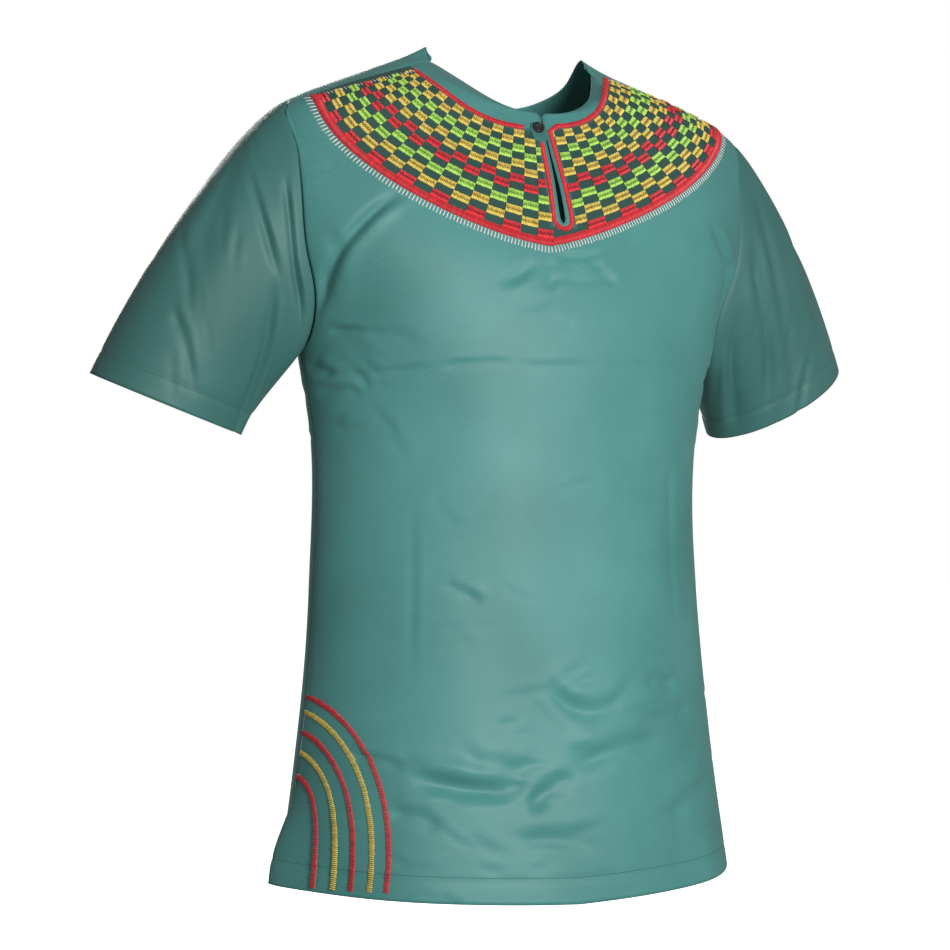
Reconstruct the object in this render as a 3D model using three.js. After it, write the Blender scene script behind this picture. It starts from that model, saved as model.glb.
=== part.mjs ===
import * as THREE from 'three';

// A short-sleeved pull-on dashiki shirt, filled out as if worn, with nobody in it.
// Millimetres. +X is the wearer's left, -Y the front, +Z up. The origin lies midway
// between the two points where neck and shoulder meet.

// ---- driving dimensions ---------------------------------------------------
const WALL = 2;                 // thickness of the cloth walls
const SEAM_GAP = 0.3;           // space between two pieces at a seam
const HEM_CENTRE = -757;        // height of the hem at centre front and back
const HEM_SIDE = -745;          // height of the hem at the side vents
const VENT_TOP = -615;          // the side seams stop here
const VENT_SPREAD = 9;          // how far a vent opens at the hem
const UNDERARM = -268;          // lowest point of the armhole
const ARMHOLE_TOP = -49;        // armhole at the shoulder ridge
const ARMHOLE_FRONT = 46;       // how far the armhole reaches forward
const ARMHOLE_BACK = 62;        // and backward
const NECK_FRONT = -54;         // height of the neckline at centre front
const NECK_BACK = -26;          // at centre back
const NECK_RIDGE = 11;          // on the shoulder ridge
const NECK_SEAM = -6;           // at the shoulder seam
const NECK_HALF_WIDTH = 88;
const NECK_CURVE = 2.4;         // higher is a squarer front neckline
const SLIT_BOTTOM = -162;       // the front slit runs from the neckline to here
const SLIT_HALF_WIDTH = 2;
const SEAM_FORWARD_NECK = 17;   // the shoulder seam lies this far before the ridge
const SEAM_FORWARD_ARM = 21;
const SEAM_FORWARD_BOW = 8;
const ARMHOLE_SEAM_ANGLE = THREE.MathUtils.degToRad(25);
const CHEST_ROW = -262;         // centre height of the row that ends at the underarm

// rows and columns of the cloth grids
const HALF_COLUMNS = 12;
const SIDE_ROWS = 15;
const CHEST_ROWS = 4;
const SLIT_ROWS = 4;
const FRONT_NECK_ROWS = 4;
const BACK_CHEST_ROWS = 9;
const BACK_NECK_ROWS = 3;
const RIDGE_ROWS = 2;
const ARMHOLE_ROWS = CHEST_ROWS + SLIT_ROWS + FRONT_NECK_ROWS;
const SLEEVE_RINGS = 9;

// torso sections from the neck down: half width, depth before and behind the middle,
// roundness (2 an ellipse, more is squarer), corner (over 1 draws the sides to an edge)
const SECTIONS = [
  { z: 14, half: 80, front: 6, back: 50, round: 2.6, corner: 1, middle: 0 },
  { z: 0, half: 106, front: 15, back: 56, round: 2.8, corner: 1, middle: 0 },
  { z: -15, half: 143, front: 33, back: 63, round: 3, corner: 1, middle: 0 },
  { z: -30, half: 181, front: 49, back: 70, round: 3.1, corner: 1, middle: 0 },
  { z: -45, half: 214, front: 60, back: 77, round: 3.1, corner: 1, middle: 0 },
  { z: -60, half: 236, front: 67, back: 84, round: 3, corner: 1, middle: 0 },
  { z: -90, half: 242, front: 82, back: 95, round: 2.8, corner: 1, middle: 0 },
  { z: -130, half: 241, front: 101, back: 107, round: 2.6, corner: 1, middle: 0 },
  { z: -180, half: 232, front: 119, back: 117, round: 2.35, corner: 1, middle: 2 },
  { z: -225, half: 214, front: 129, back: 122, round: 2.2, corner: 1.04, middle: 4 },
  { z: -265, half: 205, front: 132, back: 124, round: 2.2, corner: 1.08, middle: 5 },
  { z: -360, half: 190, front: 130, back: 121, round: 2.1, corner: 1.15, middle: 7 },
  { z: -480, half: 192, front: 131, back: 126, round: 2.1, corner: 1.15, middle: 7 },
  { z: -610, half: 203, front: 136, back: 134, round: 2.1, corner: 1.15, middle: 6 },
  { z: -760, half: 225, front: 150, back: 146, round: 2.1, corner: 1.15, middle: 4 },
];

// the largest folds of the body: a valley between two points, seen from the front or back
const BODY_FOLDS = [
  { panel: 'front', x0: -200, z0: -150, x1: -196, z1: -245, depth: 5, width: 20 },
  { panel: 'front', x0: 200, z0: -140, x1: 192, z1: -240, depth: 5, width: 20 },
  { panel: 'front', x0: -128, z0: -698, x1: 60, z1: -690, depth: 5, width: 18 },
  { panel: 'front', x0: 40, z0: -672, x1: 150, z1: -640, depth: 4, width: 18 },
  { panel: 'front', x0: -34, z0: -192, x1: 30, z1: -196, depth: 3, width: 14 },
  { panel: 'back', x0: -190, z0: -170, x1: -150, z1: -300, depth: 6, width: 22 },
  { panel: 'back', x0: 190, z0: -160, x1: 140, z1: -280, depth: 6, width: 22 },
  { panel: 'back', x0: -130, z0: -470, x1: 60, z1: -500, depth: 5, width: 24 },
  { panel: 'back', x0: -20, z0: -660, x1: 130, z1: -630, depth: 5, width: 22 },
];
const FOLD_FADE = 30;           // folds die out this far from a seam

// each sleeve ends in a tilted oval: centre, half width, rise of its outer end,
// half depth and drop of its front
const SLEEVES = [
  { name: 'sleeve_right', side: -1, x: 316, y: 52, z: -318, half: 68, rise: 23, deep: 56, drop: 13 },
  { name: 'sleeve_left', side: 1, x: 316, y: 52, z: -297, half: 69, rise: 37, deep: 56, drop: 17 },
];
const CUFF_TURN = THREE.MathUtils.degToRad(8);
const CAP_DIRECTION = new THREE.Vector3(0.86, 0.05, -0.5).normalize();
const UNDERARM_DIRECTION = new THREE.Vector3(0.45, 0.1, -0.88).normalize();
const CUFF_DIRECTION = new THREE.Vector3(0.41, 0.16, -0.9).normalize();
const CAP_FULLNESS = 0.6;       // pull of the cap on the sleeve's curve
const UNDERARM_FULLNESS = 0.7;
const CUFF_FULLNESS = 0.9;

// the largest folds of a sleeve: along it (0 seam, 1 cuff), round it (0 top, + front)
const SLEEVE_FOLDS = [
  { along0: 0.1, round0: 1.9, along1: 0.75, round1: 2.4, depth: 4, width: 16 },
  { along0: 0.1, round0: -1.8, along1: 0.7, round1: -2.4, depth: 5, width: 18 },
];

// the button and the tab of cloth under it, on the wearer's right of the slit
const TAB = { x: -6, z: -73, half: 9, tall: 11, wall: 1.2 };
const BUTTON = { x: -6.5, z: -70, radius: 5.75, thick: 2.4, holeRadius: 0.75, holePitch: 1.6 };

// ---- small helpers --------------------------------------------------------
const mix = (a, b, t) => a + (b - a) * t;
const smooth = (t) => t * t * (3 - 2 * t);
const clamp = THREE.MathUtils.clamp;
const COLUMNS = ['half', 'front', 'back', 'round', 'corner', 'middle'];

function slopeAt(index, column) {
  const first = Math.max(index - 1, 0);
  const last = Math.min(index + 1, SECTIONS.length - 1);
  const rise = SECTIONS[last][column] - SECTIONS[first][column];
  return rise / (SECTIONS[last].z - SECTIONS[first].z);
}

// one torso section at any height, eased smoothly between the rows of the table
function sectionAt(z) {
  let row = 0;
  while (row < SECTIONS.length - 2 && z < SECTIONS[row + 1].z) row += 1;
  const upper = SECTIONS[row];
  const lower = SECTIONS[row + 1];
  const span = lower.z - upper.z;
  const t = clamp((z - upper.z) / span, 0, 1);
  const section = {};
  for (const column of COLUMNS) {
    const start = slopeAt(row, column) * span;
    const end = slopeAt(row + 1, column) * span;
    section[column] = (2 * t ** 3 - 3 * t ** 2 + 1) * upper[column]
      + (t ** 3 - 2 * t ** 2 + t) * start
      + (3 * t ** 2 - 2 * t ** 3) * lower[column]
      + (t ** 3 - t ** 2) * end;
  }
  return section;
}

// a point of the torso: angle 0 is centre front, a quarter turn the wearer's left side
function torsoPoint(angle, z) {
  const section = sectionAt(z);
  const sine = Math.sin(angle);
  const reach = Math.max(1 - Math.abs(sine) ** section.round, 0) ** (section.corner / 2);
  const deep = Math.cos(angle) >= 0 ? -section.front : section.back;
  return new THREE.Vector3(section.half * sine, section.middle + deep * reach, z);
}

function torsoNormal(angle, z) {
  const step = 0.02;
  const around = torsoPoint(angle + step, z).sub(torsoPoint(angle - step, z));
  const up = torsoPoint(angle, z + 1).sub(torsoPoint(angle, z - 1));
  return around.cross(up).normalize();
}

function angleOfX(x, z) {
  return Math.asin(clamp(x / sectionAt(z).half, -1, 1));
}

// the angle at which the front or the back is this far from the middle plane
function angleOfDepth(distance, z, isFront) {
  const section = sectionAt(z);
  const reach = clamp(distance / (isFront ? section.front : section.back), 0, 1);
  const sine = (1 - reach ** (2 / section.corner)) ** (1 / section.round);
  const angle = Math.asin(sine);
  return isFront ? angle : Math.PI - angle;
}

// distance to a fold's line, and the depth of its valley there
function valley(fold, x0, y0, x1, y1, x, y) {
  const length = (x1 - x0) ** 2 + (y1 - y0) ** 2;
  const t = clamp(((x - x0) * (x1 - x0) + (y - y0) * (y1 - y0)) / length, 0, 1);
  const distance = Math.hypot(x - mix(x0, x1, t), y - mix(y0, y1, t));
  return fold.depth * Math.exp(-((distance / fold.width) ** 2));
}

// ---- edges of the panels, as an angle and a height --------------------------
// the armhole: turn 0 is its top, a half turn the underarm, positive turns are in front
function armholeEdge(turn) {
  const middle = (ARMHOLE_TOP + UNDERARM) / 2;
  const z = middle + (ARMHOLE_TOP - middle) * Math.cos(turn);
  const reach = turn > 0 ? ARMHOLE_FRONT : ARMHOLE_BACK;
  const distance = reach * Math.abs(Math.sin(turn)) ** 0.9;
  if (distance < 0.01) return { angle: Math.PI / 2, z };
  return { angle: angleOfDepth(distance, z, turn > 0), z };
}

function sideEdge(row, isFront) {
  const z = mix(HEM_SIDE, UNDERARM, row / SIDE_ROWS);
  const open = clamp((VENT_TOP - z) / (VENT_TOP - HEM_SIDE), 0, 1);
  const distance = (SEAM_GAP + VENT_SPREAD * open ** 1.5) / 2;
  return { angle: angleOfDepth(distance, z, isFront), z };
}

function frontNeckEdge(t) {
  const x = NECK_HALF_WIDTH * Math.sin(t * Math.PI / 2);
  const z = mix(NECK_FRONT, NECK_SEAM, (x / NECK_HALF_WIDTH) ** NECK_CURVE);
  return { angle: angleOfX(x, z), z };
}

function ridgeNeckEdge(t) {
  const z = mix(NECK_RIDGE, NECK_SEAM, t);
  const x = mix(sectionAt(NECK_RIDGE).half, NECK_HALF_WIDTH, t);
  return { angle: t === 0 ? Math.PI / 2 : angleOfX(x, z), z };
}

function backNeckEdge(t) {
  return { angle: Math.PI * (1 - t / 2), z: mix(NECK_BACK, NECK_RIDGE, smooth(t)) };
}

function frontInnerEdge(row) {
  if (row <= SIDE_ROWS) return { angle: 0, z: mix(HEM_CENTRE, CHEST_ROW, row / SIDE_ROWS) };
  const chest = row - SIDE_ROWS;
  if (chest <= CHEST_ROWS) return { angle: 0, z: mix(CHEST_ROW, SLIT_BOTTOM, chest / CHEST_ROWS) };
  const slit = chest - CHEST_ROWS;
  if (slit > SLIT_ROWS) return frontNeckEdge((slit - SLIT_ROWS) / FRONT_NECK_ROWS);
  const t = slit / SLIT_ROWS;
  const z = mix(SLIT_BOTTOM, NECK_FRONT, t);
  const half = SLIT_HALF_WIDTH * (1 - 0.6 * t);
  return { angle: t === 0 ? 0 : angleOfX(half, z), z };
}

function frontOuterEdge(row) {
  if (row <= SIDE_ROWS) return sideEdge(row, true);
  const t = (row - SIDE_ROWS) / ARMHOLE_ROWS;
  return armholeEdge(mix(Math.PI, ARMHOLE_SEAM_ANGLE, t));
}

function backInnerEdge(row) {
  if (row <= SIDE_ROWS) return { angle: Math.PI, z: mix(HEM_CENTRE, CHEST_ROW, row / SIDE_ROWS) };
  const chest = row - SIDE_ROWS;
  if (chest <= BACK_CHEST_ROWS) {
    return { angle: Math.PI, z: mix(CHEST_ROW, NECK_BACK, chest / BACK_CHEST_ROWS) };
  }
  const neck = chest - BACK_CHEST_ROWS;
  if (neck <= BACK_NECK_ROWS) return backNeckEdge(neck / BACK_NECK_ROWS);
  return ridgeNeckEdge((neck - BACK_NECK_ROWS) / RIDGE_ROWS);
}

function backOuterEdge(row) {
  if (row <= SIDE_ROWS) return sideEdge(row, false);
  const arm = row - SIDE_ROWS;
  if (arm <= ARMHOLE_ROWS) return armholeEdge(-Math.PI * (1 - arm / ARMHOLE_ROWS));
  return armholeEdge(ARMHOLE_SEAM_ANGLE * (arm - ARMHOLE_ROWS) / RIDGE_ROWS);
}

// the shoulder seam, at a height on it and a share of the way from neck to armhole
function seamAngle(z, share) {
  const bow = SEAM_FORWARD_BOW * Math.sin(Math.PI * share);
  return angleOfDepth(mix(SEAM_FORWARD_NECK, SEAM_FORWARD_ARM, share) + bow, z, true);
}

// ---- sheets of cloth --------------------------------------------------------
// a sheet is a list of points with outward normals, and quads that join them
class Sheet {
  constructor() {
    this.points = [];
    this.normals = [];
    this.quads = [];
  }

  add(point, normal) {
    this.points.push(point);
    this.normals.push(normal);
    return this.points.length - 1;
  }

  // quads over a grid of point numbers; flip turns their faces over
  join(grid, flip) {
    for (let row = 0; row + 1 < grid.length; row += 1) {
      for (let column = 0; column + 1 < grid[row].length; column += 1) {
        const quad = [grid[row][column], grid[row][column + 1],
          grid[row + 1][column + 1], grid[row + 1][column]];
        this.quads.push(flip ? quad.reverse() : quad);
      }
    }
  }

  // the closed wall between the sheet and its copy moved inwards
  toGeometry(wall) {
    const count = this.points.length;
    const inner = this.points.map((p, i) => p.clone().addScaledVector(this.normals[i], -wall));
    const positions = [...this.points, ...inner].flatMap((p) => [p.x, p.y, p.z]);
    const triangles = [];
    const edges = new Map();
    for (const [a, b, c, d] of this.quads) {
      triangles.push(a, b, c, a, c, d);
      triangles.push(count + a, count + c, count + b, count + a, count + d, count + c);
      for (const [from, to] of [[a, b], [b, c], [c, d], [d, a]]) edges.set(`${from} ${to}`, [from, to]);
    }
    for (const [from, to] of edges.values()) {
      if (!edges.has(`${to} ${from}`)) {
        triangles.push(to, from, count + from, to, count + from, count + to);
      }
    }
    const geometry = new THREE.BufferGeometry();
    geometry.setAttribute('position', new THREE.Float32BufferAttribute(positions, 3));
    geometry.setIndex(triangles);
    geometry.computeVertexNormals();
    return geometry;
  }
}

const mirrored = (v) => new THREE.Vector3(-v.x, v.y, v.z);

// the inward pull of the folds on a body panel, faded out towards its seams
function bodyFoldDepth(panel, point, edgeDistance) {
  const fade = clamp(edgeDistance / FOLD_FADE, 0, 1);
  let depth = 0;
  for (const fold of BODY_FOLDS) {
    if (fold.panel === panel) {
      depth += valley(fold, fold.x0, fold.z0, fold.x1, fold.z1, point.x, point.z);
    }
  }
  return depth * smooth(fade);
}

// one row of half a panel, from its inner edge (centre or neckline) to its outer edge;
// seamShare draws it towards the shoulder seam, which runs between the ends of seam
function panelRow(inner, outer, seamShare, seam) {
  const row = [];
  for (let column = 0; column <= HALF_COLUMNS; column += 1) {
    const t = column / HALF_COLUMNS;
    const z = mix(inner.z, outer.z, t);
    let angle = mix(inner.angle, outer.angle, t);
    if (seamShare > 0 && column > 0 && column < HALF_COLUMNS) {
      angle = mix(angle, seamAngle(mix(seam.inner.z, seam.outer.z, t), t), seamShare);
    }
    row.push({ point: torsoPoint(angle, z), normal: torsoNormal(angle, z) });
  }
  return row;
}

// the rows of one half of a panel, from the hem to the shoulder seam; the last row
// draws back from the seam by half its gap
function panelRows(innerEdge, outerEdge, rowCount, seamRows) {
  const rows = [];
  const seam = { inner: innerEdge(rowCount), outer: outerEdge(rowCount) };
  for (let row = 0; row <= rowCount; row += 1) {
    const share = clamp((row - rowCount + seamRows) / seamRows, 0, 1) ** 2;
    rows.push(panelRow(innerEdge(row), outerEdge(row), share, seam));
  }
  rows[rowCount].forEach((corner, column) => {
    const back = rows[rowCount - 1][column].point.clone().sub(corner.point).normalize();
    corner.point.addScaledVector(back, SEAM_GAP * 0.6);
  });
  return rows;
}

const FRONT_ROWS = SIDE_ROWS + ARMHOLE_ROWS;
const BACK_ROWS = SIDE_ROWS + ARMHOLE_ROWS + RIDGE_ROWS;
const frontRows = panelRows(frontInnerEdge, frontOuterEdge, FRONT_ROWS, FRONT_NECK_ROWS);
const backRows = panelRows(backInnerEdge, backOuterEdge, BACK_ROWS, RIDGE_ROWS);

// ---- sleeves ----------------------------------------------------------------
function cuffPoint(sleeve, turn) {
  const across = new THREE.Vector3(
    sleeve.half * Math.cos(CUFF_TURN), -sleeve.half * Math.sin(CUFF_TURN), sleeve.rise);
  const forward = new THREE.Vector3(
    -sleeve.deep * Math.sin(CUFF_TURN), -sleeve.deep * Math.cos(CUFF_TURN), -sleeve.drop);
  return new THREE.Vector3(sleeve.x, sleeve.y, sleeve.z)
    .addScaledVector(across, Math.cos(turn)).addScaledVector(forward, Math.sin(turn));
}

// one thread of the sleeve from the armhole seam to the cuff, on the wearer's left
function sleeveLine(sleeve, turn) {
  const edge = armholeEdge(turn);
  const start = torsoPoint(edge.angle, edge.z);
  const end = cuffPoint(sleeve, turn);
  const length = start.distanceTo(end);
  const top = (1 + Math.cos(turn)) / 2;
  const leave = UNDERARM_DIRECTION.clone().lerp(CAP_DIRECTION, top ** 1.5).normalize();
  const away = leave.clone().add(new THREE.Vector3(0.8, 0, 0)).normalize();
  start.addScaledVector(away, SEAM_GAP * 1.5);
  const pull = leave.multiplyScalar(length * mix(UNDERARM_FULLNESS, CAP_FULLNESS, top));
  const arrive = CUFF_DIRECTION.clone().multiplyScalar(length * CUFF_FULLNESS);
  const line = [];
  for (let ring = 0; ring <= SLEEVE_RINGS; ring += 1) {
    const t = ring / SLEEVE_RINGS;
    line.push(new THREE.Vector3()
      .addScaledVector(start, 2 * t ** 3 - 3 * t ** 2 + 1)
      .addScaledVector(pull, t ** 3 - 2 * t ** 2 + t)
      .addScaledVector(end, 3 * t ** 2 - 2 * t ** 3)
      .addScaledVector(arrive, t ** 3 - t ** 2));
  }
  return line;
}

// the turns of the armhole at which panels and sleeve share their corners, from the
// underarm up the front, over the shoulder seam and the ridge, and down the back
function armholeTurns() {
  const turns = [];
  for (let row = 0; row <= ARMHOLE_ROWS; row += 1) {
    turns.push(mix(Math.PI, ARMHOLE_SEAM_ANGLE, row / ARMHOLE_ROWS));
  }
  for (let row = RIDGE_ROWS - 1; row > 0; row -= 1) turns.push(ARMHOLE_SEAM_ANGLE * row / RIDGE_ROWS);
  for (let row = ARMHOLE_ROWS; row > 0; row -= 1) turns.push(-Math.PI * (1 - row / ARMHOLE_ROWS));
  return turns;
}

// outward normals of a tube of lines that run round from the front to the back
function tubeNormals(lines) {
  return lines.map((line, index) => line.map((point, ring) => {
    const next = lines[(index + 1) % lines.length][ring];
    const last = lines[(index + lines.length - 1) % lines.length][ring];
    const ahead = line[Math.min(ring + 1, line.length - 1)];
    const behind = line[Math.max(ring - 1, 0)];
    return next.clone().sub(last).cross(ahead.clone().sub(behind)).negate().normalize();
  }));
}

function foldSleeve(lines, normals, turns) {
  const radius = 60;
  lines.forEach((line, index) => line.forEach((point, ring) => {
    const along = ring / SLEEVE_RINGS;
    const length = line[0].distanceTo(line[SLEEVE_RINGS]);
    let depth = 0;
    for (const fold of SLEEVE_FOLDS) {
      depth += valley(fold, fold.along0 * length, fold.round0 * radius, fold.along1 * length,
        fold.round1 * radius, along * length, turns[index] * radius);
    }
    const fade = smooth(clamp(ring / 2, 0, 1));
    point.addScaledVector(normals[index][ring], -depth * fade);
  }));
}

// body panels and sleeves turn their walls the same way at the armhole seam
function shareSeamNormals(turns, sleeveNormals) {
  turns.forEach((turn, index) => {
    const partners = [];
    if (index <= ARMHOLE_ROWS) partners.push(frontRows[SIDE_ROWS + index][HALF_COLUMNS]);
    if (index === 0) partners.push(backRows[SIDE_ROWS][HALF_COLUMNS]);
    if (index >= ARMHOLE_ROWS) {
      const row = SIDE_ROWS + ARMHOLE_ROWS + RIDGE_ROWS - (index - ARMHOLE_ROWS);
      partners.push(backRows[row][HALF_COLUMNS]);
    }
    const shared = partners[0].normal.clone();
    sleeveNormals.forEach((normals) => shared.addScaledVector(normals[index][0], 1 / sleeveNormals.length));
    shared.normalize();
    partners.forEach((partner) => partner.normal.copy(shared));
    sleeveNormals.forEach((normals) => normals[index][0].copy(shared));
  });
}

function sleeveShape(sleeve) {
  const turns = armholeTurns();
  const lines = turns.map((turn) => sleeveLine(sleeve, turn));
  const normals = tubeNormals(lines);
  return { turns, lines, normals };
}

function buildSleeve(sleeve, shape) {
  foldSleeve(shape.lines, shape.normals, shape.turns);
  const sheet = new Sheet();
  const isLeft = sleeve.side > 0;
  const grid = shape.lines.map((line, index) => line.map((point, ring) => {
    const normal = shape.normals[index][ring];
    return isLeft ? sheet.add(point, normal) : sheet.add(mirrored(point), mirrored(normal));
  }));
  grid.push(grid[0]);
  sheet.join(grid, !isLeft);
  return sheet.toGeometry(WALL);
}

// ---- body panels --------------------------------------------------------------
// both halves of a panel in one sheet; the halves share the points of the centre line
function buildPanel(name, rows, sharedRows) {
  const sheet = new Sheet();
  const halves = [1, -1].map((side) => rows.map((row) => row.map((corner, column) => {
    const point = corner.point.clone();
    const seamDistance = (HALF_COLUMNS - column) * 16;
    if (side < 0) point.x = -point.x;
    const depth = bodyFoldDepth(name, point, seamDistance);
    const normal = side < 0 ? mirrored(corner.normal) : corner.normal.clone();
    point.addScaledVector(normal, -depth);
    return { point, normal };
  })));
  const [left, right] = halves.map((half) => half.map((row) => row.map(
    (corner) => sheet.add(corner.point, corner.normal))));
  for (let row = 0; row <= sharedRows; row += 1) right[row][0] = left[row][0];
  const isFront = name === 'front';
  sheet.join(left, !isFront);
  sheet.join(right, isFront);
  return sheet;
}

// drops the points that no quad uses, so that the wall is one closed body
function tidySheet(sheet) {
  const kept = new Map();
  const tidy = new Sheet();
  for (const quad of sheet.quads) {
    tidy.quads.push(quad.map((index) => {
      if (!kept.has(index)) kept.set(index, tidy.add(sheet.points[index], sheet.normals[index]));
      return kept.get(index);
    }));
  }
  return tidy;
}

// ---- button and tab -------------------------------------------------------------
// a rounded patch that follows the front panel, just clear of it
function buildTab() {
  const sheet = new Sheet();
  const cells = 6;
  const grid = [];
  for (let row = 0; row <= cells; row += 1) {
    const line = [];
    for (let column = 0; column <= cells; column += 1) {
      const across = 2 * column / cells - 1;
      const up = 2 * row / cells - 1;
      const x = TAB.x + TAB.half * across * Math.sqrt(1 - 0.3 * up ** 2);
      const z = TAB.z + TAB.tall * up * Math.sqrt(1 - 0.3 * across ** 2);
      const angle = angleOfX(x, z);
      const normal = torsoNormal(angle, z);
      const point = torsoPoint(angle, z).addScaledVector(normal, SEAM_GAP + TAB.wall + 0.3);
      line.push(sheet.add(point, normal));
    }
    grid.push(line);
  }
  sheet.join(grid, false);
  return sheet.toGeometry(TAB.wall);
}

function buildButton() {
  const disc = new THREE.Shape();
  disc.absarc(0, 0, BUTTON.radius, 0, 2 * Math.PI);
  for (const [right, up] of [[1, 1], [-1, 1], [-1, -1], [1, -1]]) {
    const hole = new THREE.Path();
    hole.absarc(right * BUTTON.holePitch, up * BUTTON.holePitch, BUTTON.holeRadius, 0, 2 * Math.PI, true);
    disc.holes.push(hole);
  }
  return new THREE.ExtrudeGeometry(disc, {
    depth: BUTTON.thick, bevelEnabled: false, curveSegments: 16,
  });
}

// ---- the shirt --------------------------------------------------------------------
const cloth = () => new THREE.MeshStandardMaterial({ color: 0x2e6156, roughness: 0.6, metalness: 0 });
const plastic = () => new THREE.MeshStandardMaterial({ color: 0x1b1a1a, roughness: 0.3, metalness: 0 });

const group = new THREE.Group();

function addMesh(name, geometry, material) {
  const mesh = new THREE.Mesh(geometry, material);
  mesh.name = name;
  group.add(mesh);
  return mesh;
}

const shapes = SLEEVES.map((sleeve) => sleeveShape(sleeve));
shareSeamNormals(armholeTurns(), shapes.map((shape) => shape.normals));
const frontSheet = tidySheet(buildPanel('front', frontRows, SIDE_ROWS + CHEST_ROWS));
const backSheet = tidySheet(buildPanel('back', backRows, SIDE_ROWS + BACK_CHEST_ROWS));
addMesh('front', frontSheet.toGeometry(WALL), cloth());
addMesh('back', backSheet.toGeometry(WALL), cloth());
SLEEVES.forEach((sleeve, index) => {
  addMesh(sleeve.name, buildSleeve(sleeve, shapes[index]), cloth());
});
addMesh('button_tab', buildTab(), cloth());

const button = addMesh('button', buildButton(), plastic());
const buttonAngle = angleOfX(BUTTON.x, BUTTON.z);
const buttonNormal = torsoNormal(buttonAngle, BUTTON.z);
button.position.copy(torsoPoint(buttonAngle, BUTTON.z))
  .addScaledVector(buttonNormal, 2 * SEAM_GAP + TAB.wall + 0.6);
button.quaternion.setFromUnitVectors(new THREE.Vector3(0, 0, 1), buttonNormal);

export default group;
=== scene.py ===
import math

import bmesh
import bpy
import numpy as np
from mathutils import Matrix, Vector


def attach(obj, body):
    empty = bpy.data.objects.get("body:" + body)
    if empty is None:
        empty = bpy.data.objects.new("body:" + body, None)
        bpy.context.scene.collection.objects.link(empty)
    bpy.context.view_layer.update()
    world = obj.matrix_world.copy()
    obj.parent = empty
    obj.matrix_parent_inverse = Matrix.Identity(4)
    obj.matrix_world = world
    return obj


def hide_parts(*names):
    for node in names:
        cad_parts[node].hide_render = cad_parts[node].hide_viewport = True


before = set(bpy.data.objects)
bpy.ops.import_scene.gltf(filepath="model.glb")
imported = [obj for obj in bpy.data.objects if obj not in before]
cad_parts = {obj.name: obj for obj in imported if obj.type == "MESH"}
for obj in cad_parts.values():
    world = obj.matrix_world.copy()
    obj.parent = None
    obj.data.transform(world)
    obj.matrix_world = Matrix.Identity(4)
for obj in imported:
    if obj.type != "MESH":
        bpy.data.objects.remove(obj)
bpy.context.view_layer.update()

# A dashiki shirt filled out as worn. All shapes are worked out in millimetres in the
# frame's axes: +X wearer's left, -Y front, +Z up. Blender objects are in metres.
rng = np.random.default_rng(7)
MM = 0.001

# ---- sizes of the shirt ------------------------------------------------------
HEM_CENTRE = -757.0
HEM_SIDE = -745.0
VENT_TOP = -650.0
VENT_SPREAD = 9.0
UNDERARM = -268.0
ARMHOLE_TOP = -49.0
ARMHOLE_FRONT = 46.0
ARMHOLE_BACK = 62.0
NECK_FRONT = -54.0
NECK_BACK = -26.0
NECK_RIDGE = 11.0
NECK_SEAM = -6.0
NECK_HALF_WIDTH = 88.0
NECK_CURVE = 2.4
SLIT_BOTTOM = -160.0
SLIT_CORNER = 5.0           # radius of the cloth's corners where the slit meets the neck
SEAM_FORWARD_NECK = 17.0
SEAM_FORWARD_ARM = 21.0
SEAM_FORWARD_BOW = 8.0
ARMHOLE_SEAM_ANGLE = math.radians(25)
CHEST_ROW = -262.0
HEM_DEPTH = 22.0
CUFF_HEM = 21.0
CLOTH = 0.9                 # thickness of the cloth shells
ALLOWANCE = 4.0             # seam allowance turned inwards at each seam

# how far the corners beside the vents swing out, by panel and side
FLARE_HEIGHT = 84.0
VENT_FLARE = {("front", -1): 14.0, ("front", 1): 5.0, ("back", -1): 3.0, ("back", 1): 5.0}

# the neck sits a little to the wearer's right, so its left side is pulled in
NECK_PULL = 12.0
NECK_PULL_X = 84.0
NECK_PULL_REACH = 38.0
NECK_PULL_FOOT = -75.0
NECK_PULL_RISE = 70.0

# z, half width, depth before and behind the middle, roundness, corner, middle
SECTIONS = np.array([
    (14, 80, 6, 50, 2.6, 1, 0),
    (0, 106, 15, 56, 2.8, 1, 0),
    (-15, 143, 33, 63, 3, 1, 0),
    (-30, 181, 49, 70, 3.1, 1, 0),
    (-45, 214, 60, 77, 3.1, 1, 0),
    (-60, 236, 67, 84, 3, 1, 0),
    (-90, 242, 82, 95, 2.8, 1, 0),
    (-130, 241, 101, 107, 2.6, 1, 0),
    (-180, 232, 119, 117, 2.35, 1, 2),
    (-225, 214, 129, 122, 2.2, 1.04, 4),
    (-265, 205, 132, 124, 2.2, 1.08, 5),
    (-360, 190, 130, 121, 2.1, 1.15, 7),
    (-480, 192, 131, 126, 2.1, 1.15, 7),
    (-610, 203, 136, 134, 2.1, 1.15, 6),
    (-760, 225, 150, 146, 2.1, 1.15, 4),
], dtype=float)


def mix(a, b, t):
    return a + (b - a) * t


def smooth(t):
    t = np.clip(t, 0, 1)
    return t * t * (3 - 2 * t)


def section_at(z):
    """The torso section's columns at the heights z, eased between the table's rows."""
    z = np.asarray(z, float)
    heights = SECTIONS[:, 0]
    values = SECTIONS[:, 1:]
    count = len(heights)
    first = np.maximum(np.arange(count) - 1, 0)
    last = np.minimum(np.arange(count) + 1, count - 1)
    slopes = (values[last] - values[first]) / (heights[last] - heights[first])[:, None]
    row = np.clip(np.searchsorted(-heights, -z, side="right") - 1, 0, count - 2)
    span = (heights[row + 1] - heights[row])[..., None]
    t = np.clip((z - heights[row])[..., None] / span, 0, 1)
    return ((2 * t**3 - 3 * t**2 + 1) * values[row] + (t**3 - 2 * t**2 + t) * slopes[row] * span
            + (3 * t**2 - 2 * t**3) * values[row + 1] + (t**3 - t**2) * slopes[row + 1] * span)


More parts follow.
